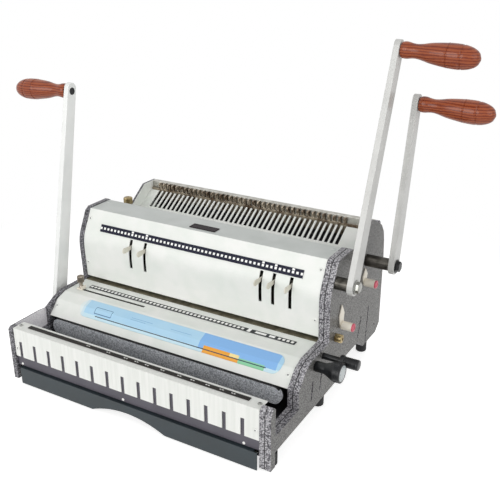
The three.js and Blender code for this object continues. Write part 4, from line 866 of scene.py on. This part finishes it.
# Size dial: black fluted barrel on a neck, with a pale graduated face
MARK_COUNT = 12
MARK_RADIUS = 7.2
FIRST_MARK = -165
start, length = start_and_length("size_dial", X_AXIS)
head = length - 9.5
dial = turned(start, RIGHT, [
    (0, 4), (head - 26.8, 4), (head - 26.7, 6.6), (head - 26, 7), (head - 14.4, 7),
    (head - 12, 7.5), (head - 6, 10.3), (head - 1.2, 12.6), (head, 13.0), (head + 0.6, 13.0),
    (length - 3.2, 13.0), (length - 1.0, 13.0), (length - 0.3, 12.7), (length, 11.9),
    (length, 10.8), (length - 0.4, 10.6), (length - 0.4, 0.3)], 48)
knurl(dial, start, RIGHT, head + 0.7, length - 3.3, 0.3)
replace_node(dial, "size_dial_fluted", "size_dial")
face_plate = turned(start, RIGHT, [
    (length - 0.35, 10.3), (length - 0.1, 10.3), (length - 0.02, 10.0), (length - 0.02, 0.3)], 48)
finish_piece(face_plate, "size_dial_face", dial_face, "dial")
for step in range(MARK_COUNT):
    turn = math.radians(step * 360 / MARK_COUNT + FIRST_MARK)
    long_mark = 2.4 if step % 3 == 0 else 1.5
    outward = Vector((0, math.sin(turn), math.cos(turn)))
    inner_end = start + RIGHT * (length - 0.02) * MM + outward * MARK_RADIUS * MM
    mark = printed((0, -0.3, 0), (0.06, 0.3, long_mark), inner_end, tilt=-turn, bevel=0.02)
    finish_piece(mark, f"size_dial_mark_{step + 1}", print_black, "dial")

# Release rod: slim rod, ring and ribbed grip
RIB_COUNT = 6
RIB_PITCH = 2.5
start, length = start_and_length("release_rod", X_AXIS)
profile = [(0, 4.6), (0.4, 5), (3, 5), (3.1, 4), (length - 25.2, 4), (length - 25, 7.5),
           (length - 24.4, 8), (length - 20.6, 8), (length - 20, 7.4)]
for rib in range(RIB_COUNT):
    along = length - 19.4 + rib * RIB_PITCH
    profile += [(along, 6.7), (along + 0.5, 7.0), (along + 1.6, 7.0), (along + 2.0, 6.7)]
profile += [(length - 4.2, 7.0), (length - 1.2, 7.0), (length - 0.3, 6.5), (length, 5.6),
            (length, 0.3)]
replace_node(turned(start, RIGHT, profile, 36), "release_rod_ribbed", "release_rod")

# Small button-head screws with a socket, in pairs, and the rail's bright steel rivets, whose heads
# are white film as a painted glint

SCREW_PROFILE = [(0, 2.9), (0.5, 2.9), (1.0, 2.3), (1.25, 1.6), (1.25, 1.15), (0.5, 1.05),
                 (0.5, 0.1)]
SOCKET_PROFILE = [(0, 1.0), (0.06, 1.0)]
RIVET_PROFILE = [(0, 1.9), (0.4, 1.9), (0.9, 1.3), (1.0, 0.2)]
SCREW_LIFT = 0.02
SOCKET_LIFT = 0.55
RIVET_Z = 32.9
# Outward directions of the punch cover's slope and of the table's
COVER_RISE, COVER_RUN = 40, 21
COVER_SLOPE = Vector((0, -COVER_RISE, COVER_RUN)).normalized()
TABLE_SLOPE = Vector((0, -19, 18)).normalized()
# Name, place of the right one in mm, outward direction, finish and slot
screws = [
    ("cover_slope_screw", 189.6, -3.0, 195.7, COVER_SLOPE, cover_enamel, "off_white_paint"),
    ("cover_face_screw", 189.6, -16.05, 130.0, FRONT, cover_enamel, "off_white_paint"),
    # The top screws share the top's painted shade
    ("cover_top_screw", 188.2, 37.5, 209.0, UP, painted_shade_top_enamel, "off_white_paint"),
    ("table_screw", 189.4, -89.7, 87.9, TABLE_SLOPE, cover_enamel, "off_white_paint"),
    ("hanger_top_screw", 189.5, -160.9, 88.0, UP, zinc_steel, "bright_steel"),
    ("hanger_face_screw", 189.6, -171.7, 58.0, FRONT, hanger_enamel, "off_white_paint"),
]
for name, x, y, z, normal, finish, slot in screws:
    for way, side in ((-1, "left"), (1, "right")):
        seat = at(way * x, y, z)
        screw = turned(seat + normal * SCREW_LIFT * MM, normal, SCREW_PROFILE, 20)
        finish_piece(screw, f"{name}_{side}", finish, "frame")
        socket = turned(seat + normal * SOCKET_LIFT * MM, normal, SOCKET_PROFILE, 6)
        finish_piece(socket, f"{name}_socket_{side}", print_black, "frame")
# The rivets' steel heads are given white film: a painted glint
for name, x in (("left", -185.9), ("middle", -8.0), ("right", 173.0)):
    rivet = turned(at(x, RAIL_FRONT, RIVET_Z), FRONT, RIVET_PROFILE, 20)
    finish_piece(rivet, f"rail_rivet_painted_glint_{name}", print_white, "frame")

# Hole ruler: one white square for each pin

HOLE_PITCH = 6.35
HOLE_COUNT = 53
COVER_TILT = math.atan2(COVER_RISE, COVER_RUN)
SQUARE = 3.3
FIRST_SQUARE = 1.8
SQUARE_LIFT = 0.42
ruler_low, ruler_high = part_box("hole_ruler")
ruler_middle = (ruler_low + ruler_high) / 2
first = Vector((ruler_low.x + FIRST_SQUARE * MM, ruler_middle.y, ruler_middle.z))
squares = printed((-SQUARE / 2, -SQUARE / 2, 0), (SQUARE / 2, SQUARE / 2, 0.12),
                  first + COVER_SLOPE * SQUARE_LIFT * MM, tilt=COVER_TILT,
                  count=HOLE_COUNT, pitch=HOLE_PITCH)
finish_piece(squares, "hole_ruler_squares", print_white, "frame")

# Small blank white tabs of film over the ruler, one above each pull tab
PATCH_LIFT = 0.44
for number in range(1, 6):
    tab_low, tab_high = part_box(f"pull_tab_{number}")
    above = Vector(((tab_low.x + tab_high.x) / 2, ruler_middle.y, ruler_middle.z))
    patch = printed((-1.8, 2.4, 0), (1.8, 5.0, 0.12), above + COVER_SLOPE * PATCH_LIFT * MM,
                    tilt=COVER_TILT)
    finish_piece(patch, f"hole_ruler_patch_{number}", print_white, "frame")

# Size strip on the hanger: pairs of short pale dashes, by the middle of each pair
DASH_LENGTH = 2.4
DASH_PITCH = 3.4
DASH_FROM_FRONT = 2.6
DASH_PAIRS = (-70, -36, -7.7, 9.4, 25.7, 49.9, 75.3, 94.8, 116.6, 136.4, 152.6)
low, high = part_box("size_strip")
for place, x in enumerate(DASH_PAIRS):
    left_end = at(x - (DASH_LENGTH + DASH_PITCH) / 2, 0, 0).x
    dashes = printed((0, 0, 0), (DASH_LENGTH, 1.2, 0.1),
                     Vector((left_end, low.y + DASH_FROM_FRONT * MM, high.z)),
                     bevel=0.04, count=2, pitch=DASH_PITCH)
    finish_piece(dashes, f"size_strip_dashes_{place + 1}", print_white, "frame")

# Table scale: a row of pale squares, then wider pale fields and four last squares. Each has its
# distance from the scale's left end, its length, depth and count; the table rises a little
# towards its rear
SCALE_FIELDS = ((1.6, 3.9, 4.6, 42), (317.5, 3.9, 4.6, 4), (271.5, 5.0, 8.0, 1),
                (283.5, 16.5, 4.6, 1), (304.5, 8.5, 4.6, 1))
TABLE_TILT = math.atan2(0.2, 46)
FIELD_LIFT = 0.26
low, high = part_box("table_scale")
scale_middle = (low + high) / 2
for place, (x, length, depth, count) in enumerate(SCALE_FIELDS):
    corner = Vector((low.x + x * MM, scale_middle.y, scale_middle.z + FIELD_LIFT * MM))
    field = printed((0, -depth / 2, 0), (length, depth / 2, 0.1), corner,
                    tilt=TABLE_TILT, bevel=0.03, count=count, pitch=HOLE_PITCH)
    finish_piece(field, f"table_scale_field_{place + 1}", print_white, "frame")

# Badge plate: bare, with a fine raised frame of four bars, each by its left, right, front and
# back edge on the plate
BADGE_BARS = ((0.8, 41.2, 0.8, 1.5), (0.8, 41.2, 12.5, 13.2), (0.8, 1.5, 0.8, 13.2),
              (40.5, 41.2, 0.8, 13.2))
low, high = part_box("badge_plate")
corner = Vector((low.x, low.y, high.z - 0.01 * MM))
for place, (left, right, near, far) in enumerate(BADGE_BARS):
    bar = printed((left, near, 0), (right, far, 0.15), corner)
    finish_piece(bar, f"badge_frame_{place + 1}", badge_film, "frame")
